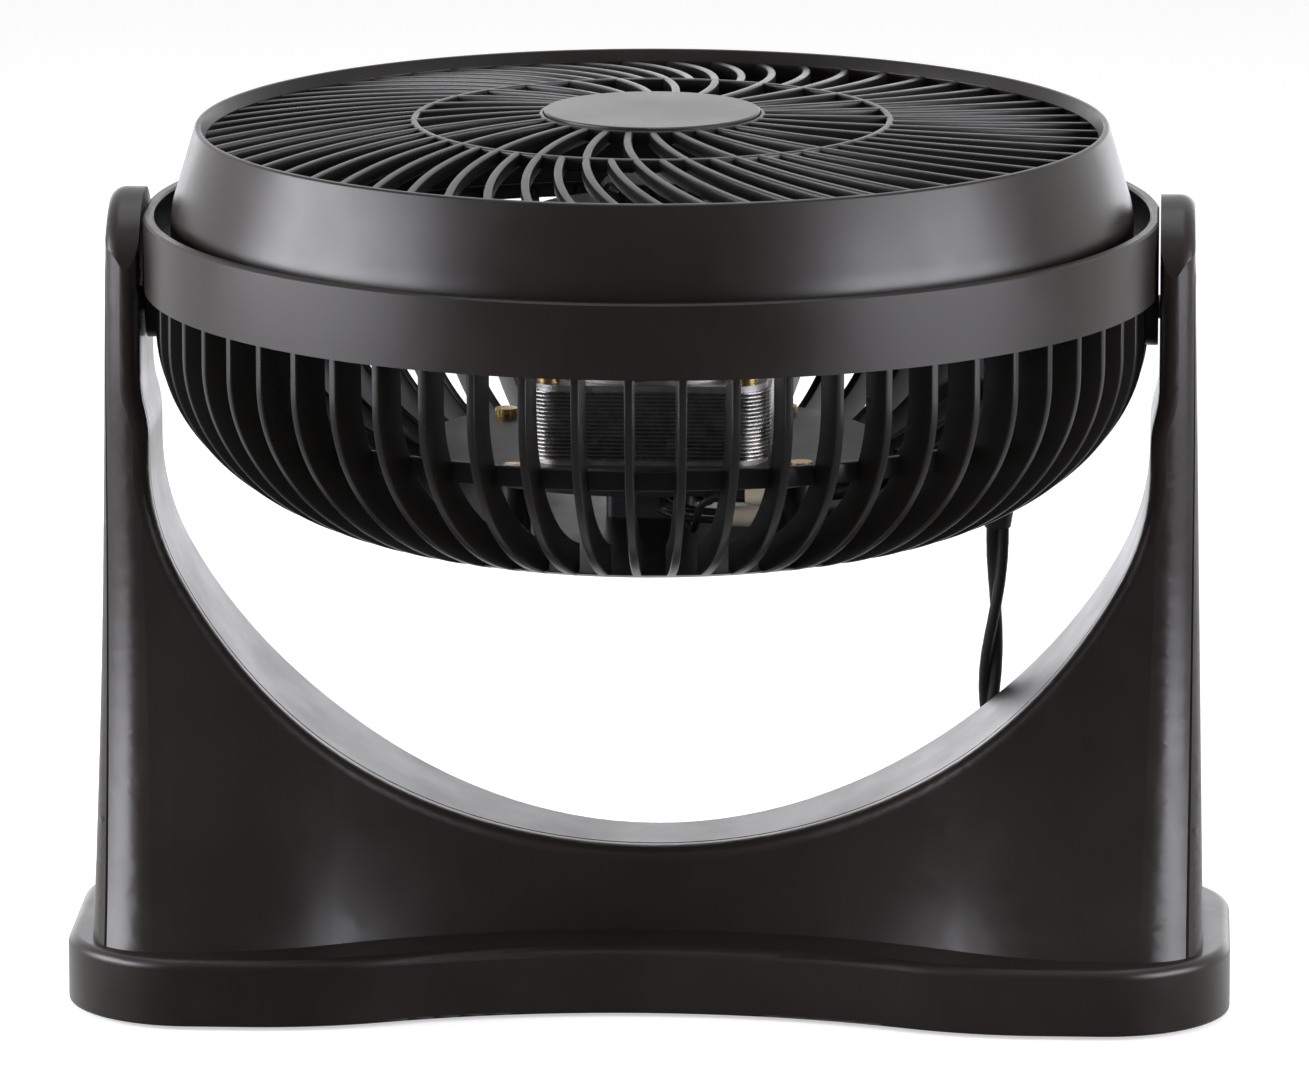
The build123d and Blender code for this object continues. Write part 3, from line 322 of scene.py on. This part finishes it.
def twin_outline(travelled):
    """Flat twin lead: two round cores side by side, slowly turning."""
    core = CORD_WIDTH / 4
    points = []
    for side in (1, -1):
        for step in range(CORE_STEPS + 1):
            angle = radians(-CORE_ARC + 2 * CORE_ARC * step / CORE_STEPS)
            points.append((side * (core + core * cos(angle)), side * core * sin(angle)))
        points.append((0.0, side * CORD_WAIST))
    turn = 2 * pi * travelled / CORD_TWIST + TWIST_START
    c, s = cos(turn), sin(turn)
    return [(x * c - y * s, x * s + y * c) for x, y in points]


def make_cord():
    """The mains cord: one line from the head through the coil to the plug."""
    line = spline_points(CORD_ROUTE + coil_points() + TAIL_ROUTE, 6)
    verts, faces = [], []
    skin(verts, faces, tube_rings(line, twin_outline))
    cord = new_object("mains_cord", verts, faces, sharp=50)
    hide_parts("cord", "cord_coil", "cord_tail")
    cord.data.materials.append(MATERIALS["cord"])
    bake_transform(cord)
    tie = make_coil_tie()


def make_coil_tie():
    """Closed strap round the turns of the coil."""
    low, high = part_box("coil_tie")
    low, high = Vector(low) / MM, Vector(high) / MM
    middle_x = (low.x + high.x) / 2
    half = (high.x - low.x) / 2
    outer = rounded([(low.y, low.z), (high.y, low.z), (high.y, high.z), (low.y, high.z)],
                    TIE_CORNERS[0], 8)
    low_y, high_y = low.y + TIE_THICK, high.y - TIE_THICK
    low_z, high_z = low.z + TIE_THICK, high.z - TIE_THICK
    inner = rounded([(low_y, low_z), (high_y, low_z), (high_y, high_z), (low_y, high_z)],
                    TIE_CORNERS[1], 8)
    left, right = Vector((middle_x - half, 0, 0)), Vector((middle_x + half, 0, 0))
    inset = Vector((TIE_EDGE, 0, 0))
    rings = []
    for (y, z), (iy, iz) in zip(outer, inner):
        out = Vector((0, y - iy, z - iz)).normalized() * TIE_EDGE
        a, b = Vector((0, y, z)), Vector((0, iy, iz))
        rings.append([left + inset + a, right - inset + a, right + a - out, right + b + out,
                      right - inset + b, left + inset + b, left + b + out, left + a - out])
    verts, faces = [], []
    skin(verts, faces, rings, wrap=True)
    tie = new_object("cord_tie", verts, faces)
    tie.data.materials.append(MATERIALS["strap"])
    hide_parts("coil_tie")
    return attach(tie, "stand")


# ---------------------------------------------------------------- head
def dome_z(radius):
    """Height of the top of the ribs."""
    fall = CROWN - (BEZEL_TOP - BEZEL_LIP_DROP)
    ball = (GRILLE_RIM ** 2 + fall ** 2) / (2 * fall)
    return CROWN - ball + sqrt(ball ** 2 - radius ** 2)


def rib_rings(number):
    """One swirled rib, a bar with rounded edges along the dome."""
    start = HUB_RADIUS - 1 if number % 2 == 0 else MID_RING
    outline = rounded([(-RIB_WIDTH / 2, 0), (RIB_WIDTH / 2, 0), (RIB_WIDTH / 2, -RIB_DEPTH),
                       (-RIB_WIDTH / 2, -RIB_DEPTH)], [0.75, 0.75, 0.3, 0.3], 3)
    rings = []
    samples = 28
    for k in range(samples + 1):
        radius = start + (RIB_END - start) * k / samples
        swirl = RIB_SWIRL * (radius - MID_RING)
        angle = radians(RIB_PHASE + 360 / RIB_COUNT * number + swirl)
        lean = radians(RIB_SWIRL) * radius
        out = Vector((cos(angle), sin(angle), 0))
        round_ = Vector((-sin(angle), cos(angle), 0))
        side = (round_ - lean * out).normalized()
        place = out * radius + Vector((0, 0, dome_z(radius)))
        rings.append([place + u * side + Vector((0, 0, v)) for u, v in outline])
    return rings


def make_grille():
    """The front grille: its ribs, mid ring and hub as one piece, its bezel as another."""
    verts, faces = [], []
    for number in range(RIB_COUNT):
        skin(verts, faces, rib_rings(number))
    top = dome_z(MID_RING)
    inside, outside = MID_RING - MID_RING_HALF, MID_RING + MID_RING_HALF
    add_lathe(verts, faces, rounded([
        (inside, top - RIB_DEPTH), (outside, top - RIB_DEPTH), (outside, top), (inside, top)],
        [0.3, 0.3, 0.7, 0.7], 3), 240)
    hub_top = dome_z(HUB_RADIUS)
    hub_low = hub_top - RIB_DEPTH
    seat = CROWN - BADGE_SEAT_DEPTH
    add_disc(verts, faces, [
        (0, hub_low), (HUB_RADIUS - 0.4, hub_low), (HUB_RADIUS, hub_low + 0.4),
        (HUB_RADIUS, hub_top - 0.3), (HUB_RADIUS - 0.15, hub_top - 0.08),
        (HUB_RADIUS - 0.4, hub_top), (BADGE_SEAT + 0.1, hub_top), (BADGE_SEAT, hub_top - 0.1),
        (BADGE_SEAT, seat), (0, seat)], 144)
    ribs = new_object("grille_ribs", verts, faces)
    finish_piece(ribs, "rib_plastic", "shell_plastic", "head", "front_grille")
    verts, faces = [], []
    add_lathe(verts, faces, rounded(BEZEL_OUTLINE, BEZEL_ROUNDS, 10), 288)
    bezel = new_object("grille_bezel", verts, faces)
    finish_piece(bezel, "shell", "shell_plastic", "head", "front_grille")


def on_ellipse(axes, angle):
    """Point of the blade's outline, as (radius, height), on a quarter ellipse with these axes."""
    return Vector((BASKET_CENTRE + axes[0] * sin(angle), BASKET_TURN - axes[1] * cos(angle)))


def blade_rings():
    """One upright blade of the basket, seen from the side between two quarter ellipses."""
    thick = BLADE_THICK / 2
    reach = BLADE_START - BASKET_CENTRE
    outer_start = asin(reach / BASKET_ROUND[0])
    inner_start = asin(reach / BASKET_INNER[0])
    samples = 30
    pairs = []
    for k in range(samples + 1):
        share = k / samples
        pairs.append((on_ellipse(BASKET_ROUND, outer_start + (pi / 2 - outer_start) * share),
                      on_ellipse(BASKET_INNER, inner_start + (pi / 2 - inner_start) * share)))
    for z in (BLADE_STRAIGHT, BLADE_TOP):
        pairs.append((Vector((BASKET_CENTRE + BASKET_ROUND[0], z)),
                      Vector((BASKET_CENTRE + BASKET_INNER[0], z))))
    rings = []
    for outer, inner in pairs:
        deep = (outer - inner).length
        outline = rounded([(0, -thick), (deep, -thick), (deep, thick), (0, thick)],
                          [0.65, 0.5, 0.5, 0.65], 3)
        inward = (inner - outer).normalized()
        rings.append([(outer.x + u * inward.x, v, outer.y + u * inward.y) for u, v in outline])
    return rings


def make_basket():
    """The rear basket: blades, rim and hoop as one piece, back plate and posts as another."""
    verts, faces = [], []
    blade = blade_rings()
    for number in range(RIB_COUNT):
        angle = radians(360 / RIB_COUNT * number)
        skin(verts, faces, [turned(one, angle) for one in blade])
    add_lathe(verts, faces, rounded(BASKET_RIM, 0.5, 3), 240)
    add_lathe(verts, faces, rounded(BASKET_HOOP, 0.6, 3), 240)
    blades = new_object("basket_blades", verts, faces)
    finish_piece(blades, "rib_plastic", "shell_plastic", "head", "rear_basket")

    verts, faces = [], []
    rise = PLATE_EDGE[1] - PLATE_LOW
    bend = ((PLATE_EDGE[0] - PLATE_FLAT) ** 2 + rise ** 2) / (2 * rise)
    profile = [(PLATE_HOLE, PLATE_LOW)]
    for step in range(12):
        reach = (PLATE_EDGE[0] - PLATE_FLAT) * step / 11
        profile.append((PLATE_FLAT + reach, PLATE_LOW + bend - sqrt(bend ** 2 - reach ** 2)))
    profile += [(PLATE_EDGE[0], PLATE_HIGH), (PLATE_HOLE, PLATE_HIGH)]
    add_lathe(verts, faces, profile, 180)
    add_lathe(verts, faces, rounded(CORD_SLEEVE, [0.2, 0.4, 0.4, 0, 0, 0.2], 3), 48,
              CORD_SLEEVE_PLACE)
    for turn in range(4):
        angle = radians(POST_TURN + 90 * turn)
        add_lathe(verts, faces, rounded(PLATE_POST, [0, 0, 1.5, 0.3, 0.2], 4), 40,
                  (POST_REACH * cos(angle), POST_REACH * sin(angle)))
    for side in (-1, 1):
        start = len(verts)
        add_lathe(verts, faces, rounded(PIVOT_BOSS, 0.4, 3), 64)
        for k in range(start, len(verts)):
            x, y, z = verts[k]
            verts[k] = (side * z, side * y, PIVOT_HEIGHT + x)
    plate = new_object("basket_plate", verts, faces)
    finish_piece(plate, "shell", "shell_plastic", "head", "rear_basket")


LEAD_ROUTES = [
    ("inner_cord", 2.3, "cord", [
        (86, 25, 135), (86, 25, 144), (81, 23.3, 151), (72.5, 20.6, 150.5), (66.8, 18.6, 143.5),
        (64, 16, 134), (57.5, 12, 127.3), (44, 6.5, 125.6), (28, 2, 126.2), (11, 2, 126.2)]),
    ("switch_lead_1", 0.9, "lead", [
        (3, -11, 127.4), (3, -24, 127.4), (5, -40, 130), (10, -52, 130.75), (21, -52, 130.75)]),
    ("motor_lead_1", 0.9, "lead", [
        (4, -28.7, 135.2), (5, -39, 134.6), (10.5, -52, 132.65), (21, -52, 132.65)]),
    ("switch_lead_2", 0.9, "lead", [
        (8, -11, 127.4), (8, -27, 127.4), (11.5, -43, 127), (13, -57, 129),
        (15, -61.95, 139.3), (25.5, -61.95, 139.3)]),
    ("motor_lead_2", 0.9, "lead", [
        (10, -27, 135.2), (12.5, -41, 134.9), (16, -54.5, 134.9), (18.5, -60.05, 139.3),
        (25.5, -60.05, 139.3)])]


def make_leads():
    """Wires inside the head between the cord, the switch, the motor and the connectors."""
    for name, radius, look, route in LEAD_ROUTES:
        line = spline_points([Vector(p) * MM for p in route], 8)
        angles = [2 * pi * k / 12 for k in range(12)]
        circle = [(radius * cos(angle), radius * sin(angle)) for angle in angles]
        verts, faces = [], []
        skin(verts, faces, tube_rings(line, lambda travelled: circle))
        lead = new_object(name, verts, faces)
        finish_piece(lead, look, "cord_rubber", "head", "lead_wires")


def make_windings():
    """Enamelled copper wire wound in rings above and below the stack, with legs in its slots."""
    verts, faces = [], []
    for low, high in WOUND_LAYERS:
        add_lathe(verts, faces, wound_outline(low, high), 144)
    for turn in range(4):
        middle = radians(90 * turn)
        rings = []
        for z in LEG_HEIGHTS:
            ring_points = []
            for k in range(LEG_STEPS + 1):
                angle = middle + radians(-LEG_HALF_ANGLE + 2 * LEG_HALF_ANGLE * k / LEG_STEPS)
                reach = LEG_OUTER - (LEG_GROOVE if k % 2 else 0.0)
                ring_points.append((reach * cos(angle), reach * sin(angle), z))
            for k in range(LEG_STEPS + 1):
                angle = middle + radians(LEG_HALF_ANGLE - 2 * LEG_HALF_ANGLE * k / LEG_STEPS)
                ring_points.append((LEG_INNER * cos(angle), LEG_INNER * sin(angle), z))
            rings.append(ring_points)
        skin(verts, faces, rings)
    coil = new_object("wound_copper", verts, faces, sharp=80)
    finish_piece(coil, "copper", "copper", "head", "windings")


def wound_outline(low, high):
    """Section of a wound bundle: a rounded bar whose surface shows its wires."""
    inner, outer = WOUND_INNER + WIRE_RADIUS, WOUND_OUTER - WIRE_RADIUS
    bottom, top = low + WIRE_RADIUS, high - WIRE_RADIUS
    base = rounded([(inner, bottom), (outer, bottom), (outer, top), (inner, top)], 2.0, 6)
    points = []
    for k, start in enumerate(base):
        end = base[(k + 1) % len(base)]
        run = Vector(end) - Vector(start)
        count = max(1, round(run.length / (2 * WIRE_RADIUS)))
        out = Vector((run.y, -run.x)).normalized()
        for step in range(count):
            for part in range(4):
                share = (step + part / 4) / count
                bulge = out * WIRE_RADIUS * abs(sin(pi * part / 4))
                points.append(tuple(Vector(start) + run * share + bulge))
    return points


def finish_piece(obj, material, slot, body, *nodes):
    """Gives a new piece its material, hides the CAD nodes that it replaces and puts it on its
    body; the slot argument is not used.
    """
    obj.data.materials.append(MATERIALS[material])
    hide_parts(*nodes)
    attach(obj, body)


# ---------------------------------------------------------------- materials
def set_ranges(node, low, high, out_low, out_high):
    """Sets both ranges of a Map Range node."""
    for key, number in (("From Min", low), ("From Max", high),
                        ("To Min", out_low), ("To Max", out_high)):
        node.inputs[key].default_value = number


class Maker:
    """A material that starts as one shader fed from object coordinates."""

    def __init__(self, name, colour, rough, metal=0.0, specular=0.5):
        self.material = bpy.data.materials.new(name)
        self.material.use_nodes = True
        self.tree = self.material.node_tree
        self.shader = self.tree.nodes["Principled BSDF"]
        self.shader.inputs["Base Color"].default_value = (*colour, 1)
        self.shader.inputs["Roughness"].default_value = rough
        self.shader.inputs["Metallic"].default_value = metal
        self.shader.inputs["Specular IOR Level"].default_value = specular
        self.colour = colour
        self.rough = rough
        self.place = self.tree.nodes.new("ShaderNodeTexCoord").outputs["Object"]
        self.bump_last = None

    def node(self, kind, **settings):
        node = self.tree.nodes.new(kind)
        for key, value in settings.items():
            setattr(node, key, value)
        return node

    def link(self, a, b):
        self.tree.links.new(a, b)

    def stretched(self, x, y, z):
        """Object coordinates scaled differently along each axis."""
        mapping = self.node("ShaderNodeMapping")
        mapping.inputs["Scale"].default_value = (x, y, z)
        self.link(self.place, mapping.inputs["Vector"])
        return mapping.outputs["Vector"]

    def noise(self, scale, detail=3.0, roughness=0.5, place=None):
        node = self.node("ShaderNodeTexNoise")
        node.inputs["Scale"].default_value = scale
        node.inputs["Detail"].default_value = detail
        node.inputs["Roughness"].default_value = roughness
        self.link(place or self.place, node.inputs["Vector"])
        return node.outputs["Fac"]

    def wave(self, scale, axis, distortion=0.0):
        """Even bands across one axis."""
        node = self.node("ShaderNodeTexWave", bands_direction=axis)
        node.inputs["Scale"].default_value = scale
        node.inputs["Distortion"].default_value = distortion
        node.inputs["Detail"].default_value = 0.0
        self.link(self.place, node.inputs["Vector"])
        return node.outputs["Fac"]

    def spread(self, value, low, high, out_low, out_high):
        """Maps a value onto another range."""
        node = self.node("ShaderNodeMapRange")
        set_ranges(node, low, high, out_low, out_high)
        self.link(value, node.inputs["Value"])
        return node.outputs["Result"]

    def tint(self, value, other, low=0.35, high=0.65):
        """Varies the colour between its own and another one."""
        mix = self.node("ShaderNodeMix", data_type="RGBA")
        mix.inputs["A"].default_value = (*self.colour, 1)
        mix.inputs["B"].default_value = (*other, 1)
        self.link(self.spread(value, low, high, 0.0, 1.0), mix.inputs["Factor"])
        base = self.shader.inputs["Base Color"]
        if base.is_linked:
            self.link(base.links[0].from_socket, mix.inputs["A"])
        self.link(mix.outputs["Result"], base)

    def gloss(self, value, change, low=0.3, high=0.7):
        """Varies the roughness by plus and minus change."""
        out = self.spread(value, low, high, self.rough - change, self.rough + change)
        self.link(out, self.shader.inputs["Roughness"])

    def bump(self, value, depth_mm, strength=1.0):
        """Relief of this depth, added to the reliefs before it."""
        node = self.node("ShaderNodeBump")
        node.inputs["Distance"].default_value = depth_mm * MM
        node.inputs["Strength"].default_value = strength
        self.link(value, node.inputs["Height"])
        if self.bump_last:
            self.link(self.bump_last, node.inputs["Normal"])
        self.bump_last = node.outputs["Normal"]
        self.link(self.bump_last, self.shader.inputs["Normal"])


def plastic(name, colour, rough, grain_mm=0.35, depth_mm=0.012, change=0.05, specular=0.5):
    """Moulded plastic: fine spark-eroded grain, slight flow marks, handling wear in the gloss."""
    maker = Maker(name, colour, rough, specular=specular)
    lighter = tuple(min(1.0, c * 1.28 + 0.002) for c in colour)
    maker.tint(maker.noise(14, 4.0, 0.6), lighter)
    maker.gloss(maker.noise(38, 5.0, 0.65), change)
    maker.bump(maker.noise(1000 / grain_mm, 3.0, 0.7), depth_mm)
    maker.bump(maker.noise(60, 2.0), 0.02, 0.5)
    return maker.material


def metal(name, colour, other, rough, scratch=(900, 900, 90)):
    """Plated or bare metal with fine drawing marks and slight stains."""
    maker = Maker(name, colour, rough, metal=1.0)
    maker.tint(maker.noise(120, 4.0), other)
    maker.gloss(maker.noise(400, 4.0), 0.09)
    maker.bump(maker.noise(6, 3.0, 0.6, maker.stretched(*scratch)), 0.006, 0.6)
    return maker.material


def laminated(name):
    """Stack of thin steel sheets seen from the side."""
    maker = Maker(name, (0.33, 0.32, 0.31), 0.27, metal=1.0)
    sheets = maker.wave(320, "Z")
    maker.tint(sheets, (0.12, 0.11, 0.105), 0.62, 0.95)
    maker.tint(maker.noise(160, 4.0), (0.24, 0.21, 0.19), 0.5, 0.85)
    maker.gloss(maker.noise(300, 3.0), 0.08)
    maker.bump(sheets, 0.05, 0.7)
    return maker.material


def rubber(name, colour, rough):
    """Soft moulded rubber or jacket with a dry skin."""
    maker = Maker(name, colour, rough, specular=0.4)
    maker.tint(maker.noise(45, 5.0, 0.6), tuple(c * 1.5 + 0.004 for c in colour))
    maker.gloss(maker.noise(90, 4.0), 0.06)
    maker.bump(maker.noise(2600, 2.0), 0.02)
    return maker.material


def strap_weave(name):
    """Woven hook-and-loop strap."""
    maker = Maker(name, (0.02, 0.02, 0.021), 0.85, specular=0.3)
    across = maker.wave(260, "X")
    along = maker.wave(260, "Z", 1.0)
    maker.tint(across, (0.05, 0.05, 0.052), 0.3, 0.9)
    maker.gloss(maker.noise(300, 3.0), 0.08)
    maker.bump(across, 0.12)
    maker.bump(along, 0.08)
    return maker.material


def enamelled_copper(name):
    """Varnished copper wire."""
    maker = Maker(name, (0.62, 0.24, 0.09), 0.3, metal=1.0)
    maker.tint(maker.noise(220, 4.0), (0.42, 0.13, 0.05))
    maker.gloss(maker.noise(700, 3.0), 0.08)
    maker.bump(maker.noise(1500, 2.0), 0.01)
    return maker.material


def make_materials():
    """Every material of the fan by its look."""
    return {
        "shell": plastic("black_shell", (0.0104, 0.0076, 0.0060), 0.33),
        "rib_plastic": plastic("black_ribs", (0.0095, 0.0084, 0.0074), 0.31, depth_mm=0.008),
        "badge": plastic("badge_satin", (0.020, 0.0195, 0.019), 0.30, depth_mm=0.006, change=0.03),
        "fan": plastic("fan_plastic", (0.011, 0.011, 0.0115), 0.30, depth_mm=0.006),
        "knob": plastic("knob_plastic", (0.009, 0.009, 0.009), 0.45, depth_mm=0.02),
        "switch": plastic("switch_plastic", (0.03, 0.03, 0.032), 0.4),
        "white_nylon": plastic("white_nylon", (0.78, 0.78, 0.74), 0.45, depth_mm=0.008),
        "natural_nylon": plastic("natural_nylon", (0.70, 0.62, 0.48), 0.42, depth_mm=0.008),
        "rubber": rubber("foot_rubber", (0.018, 0.018, 0.018), 0.7),
        "cord": rubber("cord_jacket", (0.014, 0.014, 0.0145), 0.5),
        "lead": rubber("lead_jacket", (0.018, 0.017, 0.017), 0.4),
        "strap": strap_weave("strap_weave"),
        "steel": metal("zinc_steel", (0.62, 0.61, 0.58), (0.48, 0.47, 0.46), 0.32),
        "plate_steel": metal("plate_steel", (0.50, 0.50, 0.49), (0.38, 0.38, 0.38), 0.40,
                             (60, 900, 900)),
        "painted_steel": plastic("painted_steel", (0.020, 0.019, 0.018), 0.40, depth_mm=0.010),
        "shaft": metal("ground_shaft", (0.60, 0.60, 0.60), (0.50, 0.50, 0.50), 0.20,
                       (900, 900, 3000)),
        "brass": metal("brass", (0.72, 0.50, 0.20), (0.55, 0.36, 0.14), 0.30),
        "bronze": metal("sintered_bronze", (0.48, 0.30, 0.16), (0.36, 0.22, 0.12), 0.50),
        "lamination": laminated("laminated_steel"),
        "copper": enamelled_copper("enamelled_copper"),
    }


LOOK_OF_NODES = {
    "shell": ("base_shell", "bottom_plate", "stand_front", "stand_rear", "pivot_caps",
              "tilt_band"),
    "steel": ("bottom_screws", "stand_screws", "seam_screws", "spring_washers",
              "pivot_screws", "rim_screws"),
    "rubber": ("rubber_feet",),
    "white_nylon": ("pivot_bushes",),
    "badge": ("centre_badge",),
    "fan": ("impeller", "impeller_nut"),
    "shaft": ("motor_shaft", "switch_spindle"),
    "lamination": ("rotor", "stator_stack"),
    "plate_steel": ("rear_bracket", "front_bracket"),
    "bronze": ("bearings",),
    "brass": ("motor_screws", "platform_screws", "plug_blades"),
    "painted_steel": ("motor_platform",),
    "switch": ("rotary_switch",),
    "knob": ("speed_knob",),
    "natural_nylon": ("wire_connectors",),
    "cord": ("cord_gland", "plug"),
}
# Widths of the small bevels in millimetres.
SOFT_EDGES = {
    "stand_front": 0.15, "stand_rear": 0.15, "motor_platform": 0.25, "front_bracket": 0.25,
    "rear_bracket": 0.25, "motor_screws": 0.25, "platform_screws": 0.25, "seam_screws": 0.25,
    "bottom_screws": 0.25, "stand_screws": 0.25, "impeller": 0.3, "plug": 0.3,
    "plug_blades": 0.3, "rotary_switch": 0.3, "bottom_plate": 0.3, "tilt_band": 0.35}
# Large shells whose normals follow their big faces, so that highlights stay smooth.
EVEN_SHADING = ("base_shell", "stand_front", "stand_rear")


def dress_cad_nodes():
    """Procedural material and softened edges on the CAD pieces that stay."""
    for look, names in LOOK_OF_NODES.items():
        for name in names:
            dress(name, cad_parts[name], MATERIALS[look])


def dress(name, obj, material):
    """Puts the material on one CAD piece and adds the modifiers that its name asks for."""
    if not obj.material_slots:
        obj.data.materials.append(material)
    for slot in obj.material_slots:
        slot.material = material
    if name in SOFT_EDGES:
        bevel = obj.modifiers.new("soft_edges", "BEVEL")
        bevel.width = SOFT_EDGES[name] * MM
        bevel.segments = 2
        bevel.limit_method = "ANGLE"
        bevel.angle_limit = radians(40)
        bevel.harden_normals = False
    if name in EVEN_SHADING:
        even = obj.modifiers.new("even_shading", "WEIGHTED_NORMAL")
        even.keep_sharp = True


# ---------------------------------------------------------------- studio
def make_floor():
    """Plain pale floor: white to the camera, and it keeps the fan's shadow."""
    half = FLOOR_SIZE / 2 / MM
    corners = [(-half, -half, 0), (half, -half, 0), (half, half, 0), (-half, half, 0)]
    floor = new_object("floor", corners, [(0, 1, 2, 3)])
    maker = Maker("floor_paint", (0.86, 0.86, 0.86), 0.9, specular=0.1)
    path = maker.node("ShaderNodeLightPath")
    glow = maker.node("ShaderNodeEmission")
    glow.inputs["Color"].default_value = (1, 1, 1, 1)
    lift = maker.node("ShaderNodeMath", operation="MULTIPLY")
    lift.inputs[1].default_value = FLOOR_GLOW
    maker.link(path.outputs["Is Camera Ray"], lift.inputs[0])
    maker.link(lift.outputs["Value"], glow.inputs["Strength"])
    both = maker.node("ShaderNodeAddShader")
    maker.link(maker.shader.outputs["BSDF"], both.inputs[0])
    maker.link(glow.outputs["Emission"], both.inputs[1])
    maker.link(both.outputs["Shader"], maker.tree.nodes["Material Output"].inputs["Surface"])
    floor.data.materials.append(maker.material)
    floor.visible_glossy = False


def soft_ramp(nodes, low, high, out_low, out_high):
    """Map Range node that eases between its ends."""
    node = nodes.new("ShaderNodeMapRange")
    node.interpolation_type = "SMOOTHSTEP"
    set_ranges(node, low, high, out_low, out_high)
    return node


def make_world():
    """White to the camera, softer as a light; in reflections bright behind and dim in front."""
    world = bpy.data.worlds.new("studio")
    bpy.context.scene.world = world
    world.use_nodes = True
    tree = world.node_tree
    tree.nodes.clear()
    nodes, links = tree.nodes, tree.links
    out = nodes.new("ShaderNodeOutputWorld")
    path = nodes.new("ShaderNodeLightPath")
    place = nodes.new("ShaderNodeTexCoord")
    split = nodes.new("ShaderNodeSeparateXYZ")
    links.new(place.outputs["Generated"], split.inputs["Vector"])
    behind = soft_ramp(nodes, -0.4, 1.0, DARK_FRONT, 1.0)
    links.new(split.outputs["Y"], behind.inputs["Value"])
    above = soft_ramp(nodes, 0.45, 0.9, 0.0, HIGH_FRONT)
    links.new(split.outputs["Z"], above.inputs["Value"])
    mirrored = nodes.new("ShaderNodeMath")
    mirrored.operation = "MAXIMUM"
    links.new(behind.outputs["Result"], mirrored.inputs[0])
    links.new(above.outputs["Result"], mirrored.inputs[1])
    glossy = nodes.new("ShaderNodeMix")
    glossy.inputs["A"].default_value = WORLD_FILL
    links.new(path.outputs["Is Glossy Ray"], glossy.inputs["Factor"])
    links.new(mirrored.outputs["Value"], glossy.inputs["B"])
    seen = nodes.new("ShaderNodeMath")
    seen.operation = "MAXIMUM"
    links.new(path.outputs["Is Camera Ray"], seen.inputs[0])
    links.new(path.outputs["Is Transmission Ray"], seen.inputs[1])
    camera = nodes.new("ShaderNodeMix")
    camera.inputs["B"].default_value = 1.0
    links.new(seen.outputs["Value"], camera.inputs["Factor"])
    links.new(glossy.outputs["Result"], camera.inputs["A"])
    sky = nodes.new("ShaderNodeBackground")
    sky.inputs["Color"].default_value = (1, 1, 1, 1)
    links.new(camera.outputs["Result"], sky.inputs["Strength"])
    links.new(sky.outputs["Background"], out.inputs["Surface"])


def softbox(name, place, aim, wide, high, radiance):
    """Rectangular lamp that looks this bright in a mirror."""
    data = bpy.data.lights.new(name, "AREA")
    data.shape = "RECTANGLE"
    data.size = wide
    data.size_y = high
    data.energy = radiance * pi * wide * high
    data.color = LAMP_COLOUR
    lamp = bpy.data.objects.new(name, data)
    bpy.context.scene.collection.objects.link(lamp)
    lamp.location = place
    lamp.rotation_euler = (Vector(place) - Vector(aim)).to_track_quat("Z", "Y").to_euler()
    lamp.visible_camera = False
    return lamp


def make_lights():
    """Two side boxes for the long highlights, one box above, and one behind for the arch."""
    softbox("left_box", (-0.92, -0.24, 0.30), (0, 0, 0.225), 0.86, 0.46, 10.0)
    softbox("right_box", (0.87, -0.39, 0.30), (0, 0, 0.225), 0.78, 0.46, 8.2)
    softbox("top_box", (0.0, 0.25, 1.5), (0, 0, 0.1), 1.2, 1.0, 1.5)
    behind = softbox("back_box", (0.0, 1.2, 0.14), (0, 0, 0.14), 1.8, 0.46, 1.35)
    behind.visible_diffuse = False


# ---------------------------------------------------------------- build
MATERIALS = make_materials()
make_camera()
make_cord()
make_grille()
make_basket()
make_leads()
make_windings()
dress_cad_nodes()
make_floor()
make_world()
make_lights()
bpy.context.scene.view_settings.view_transform = "Standard"
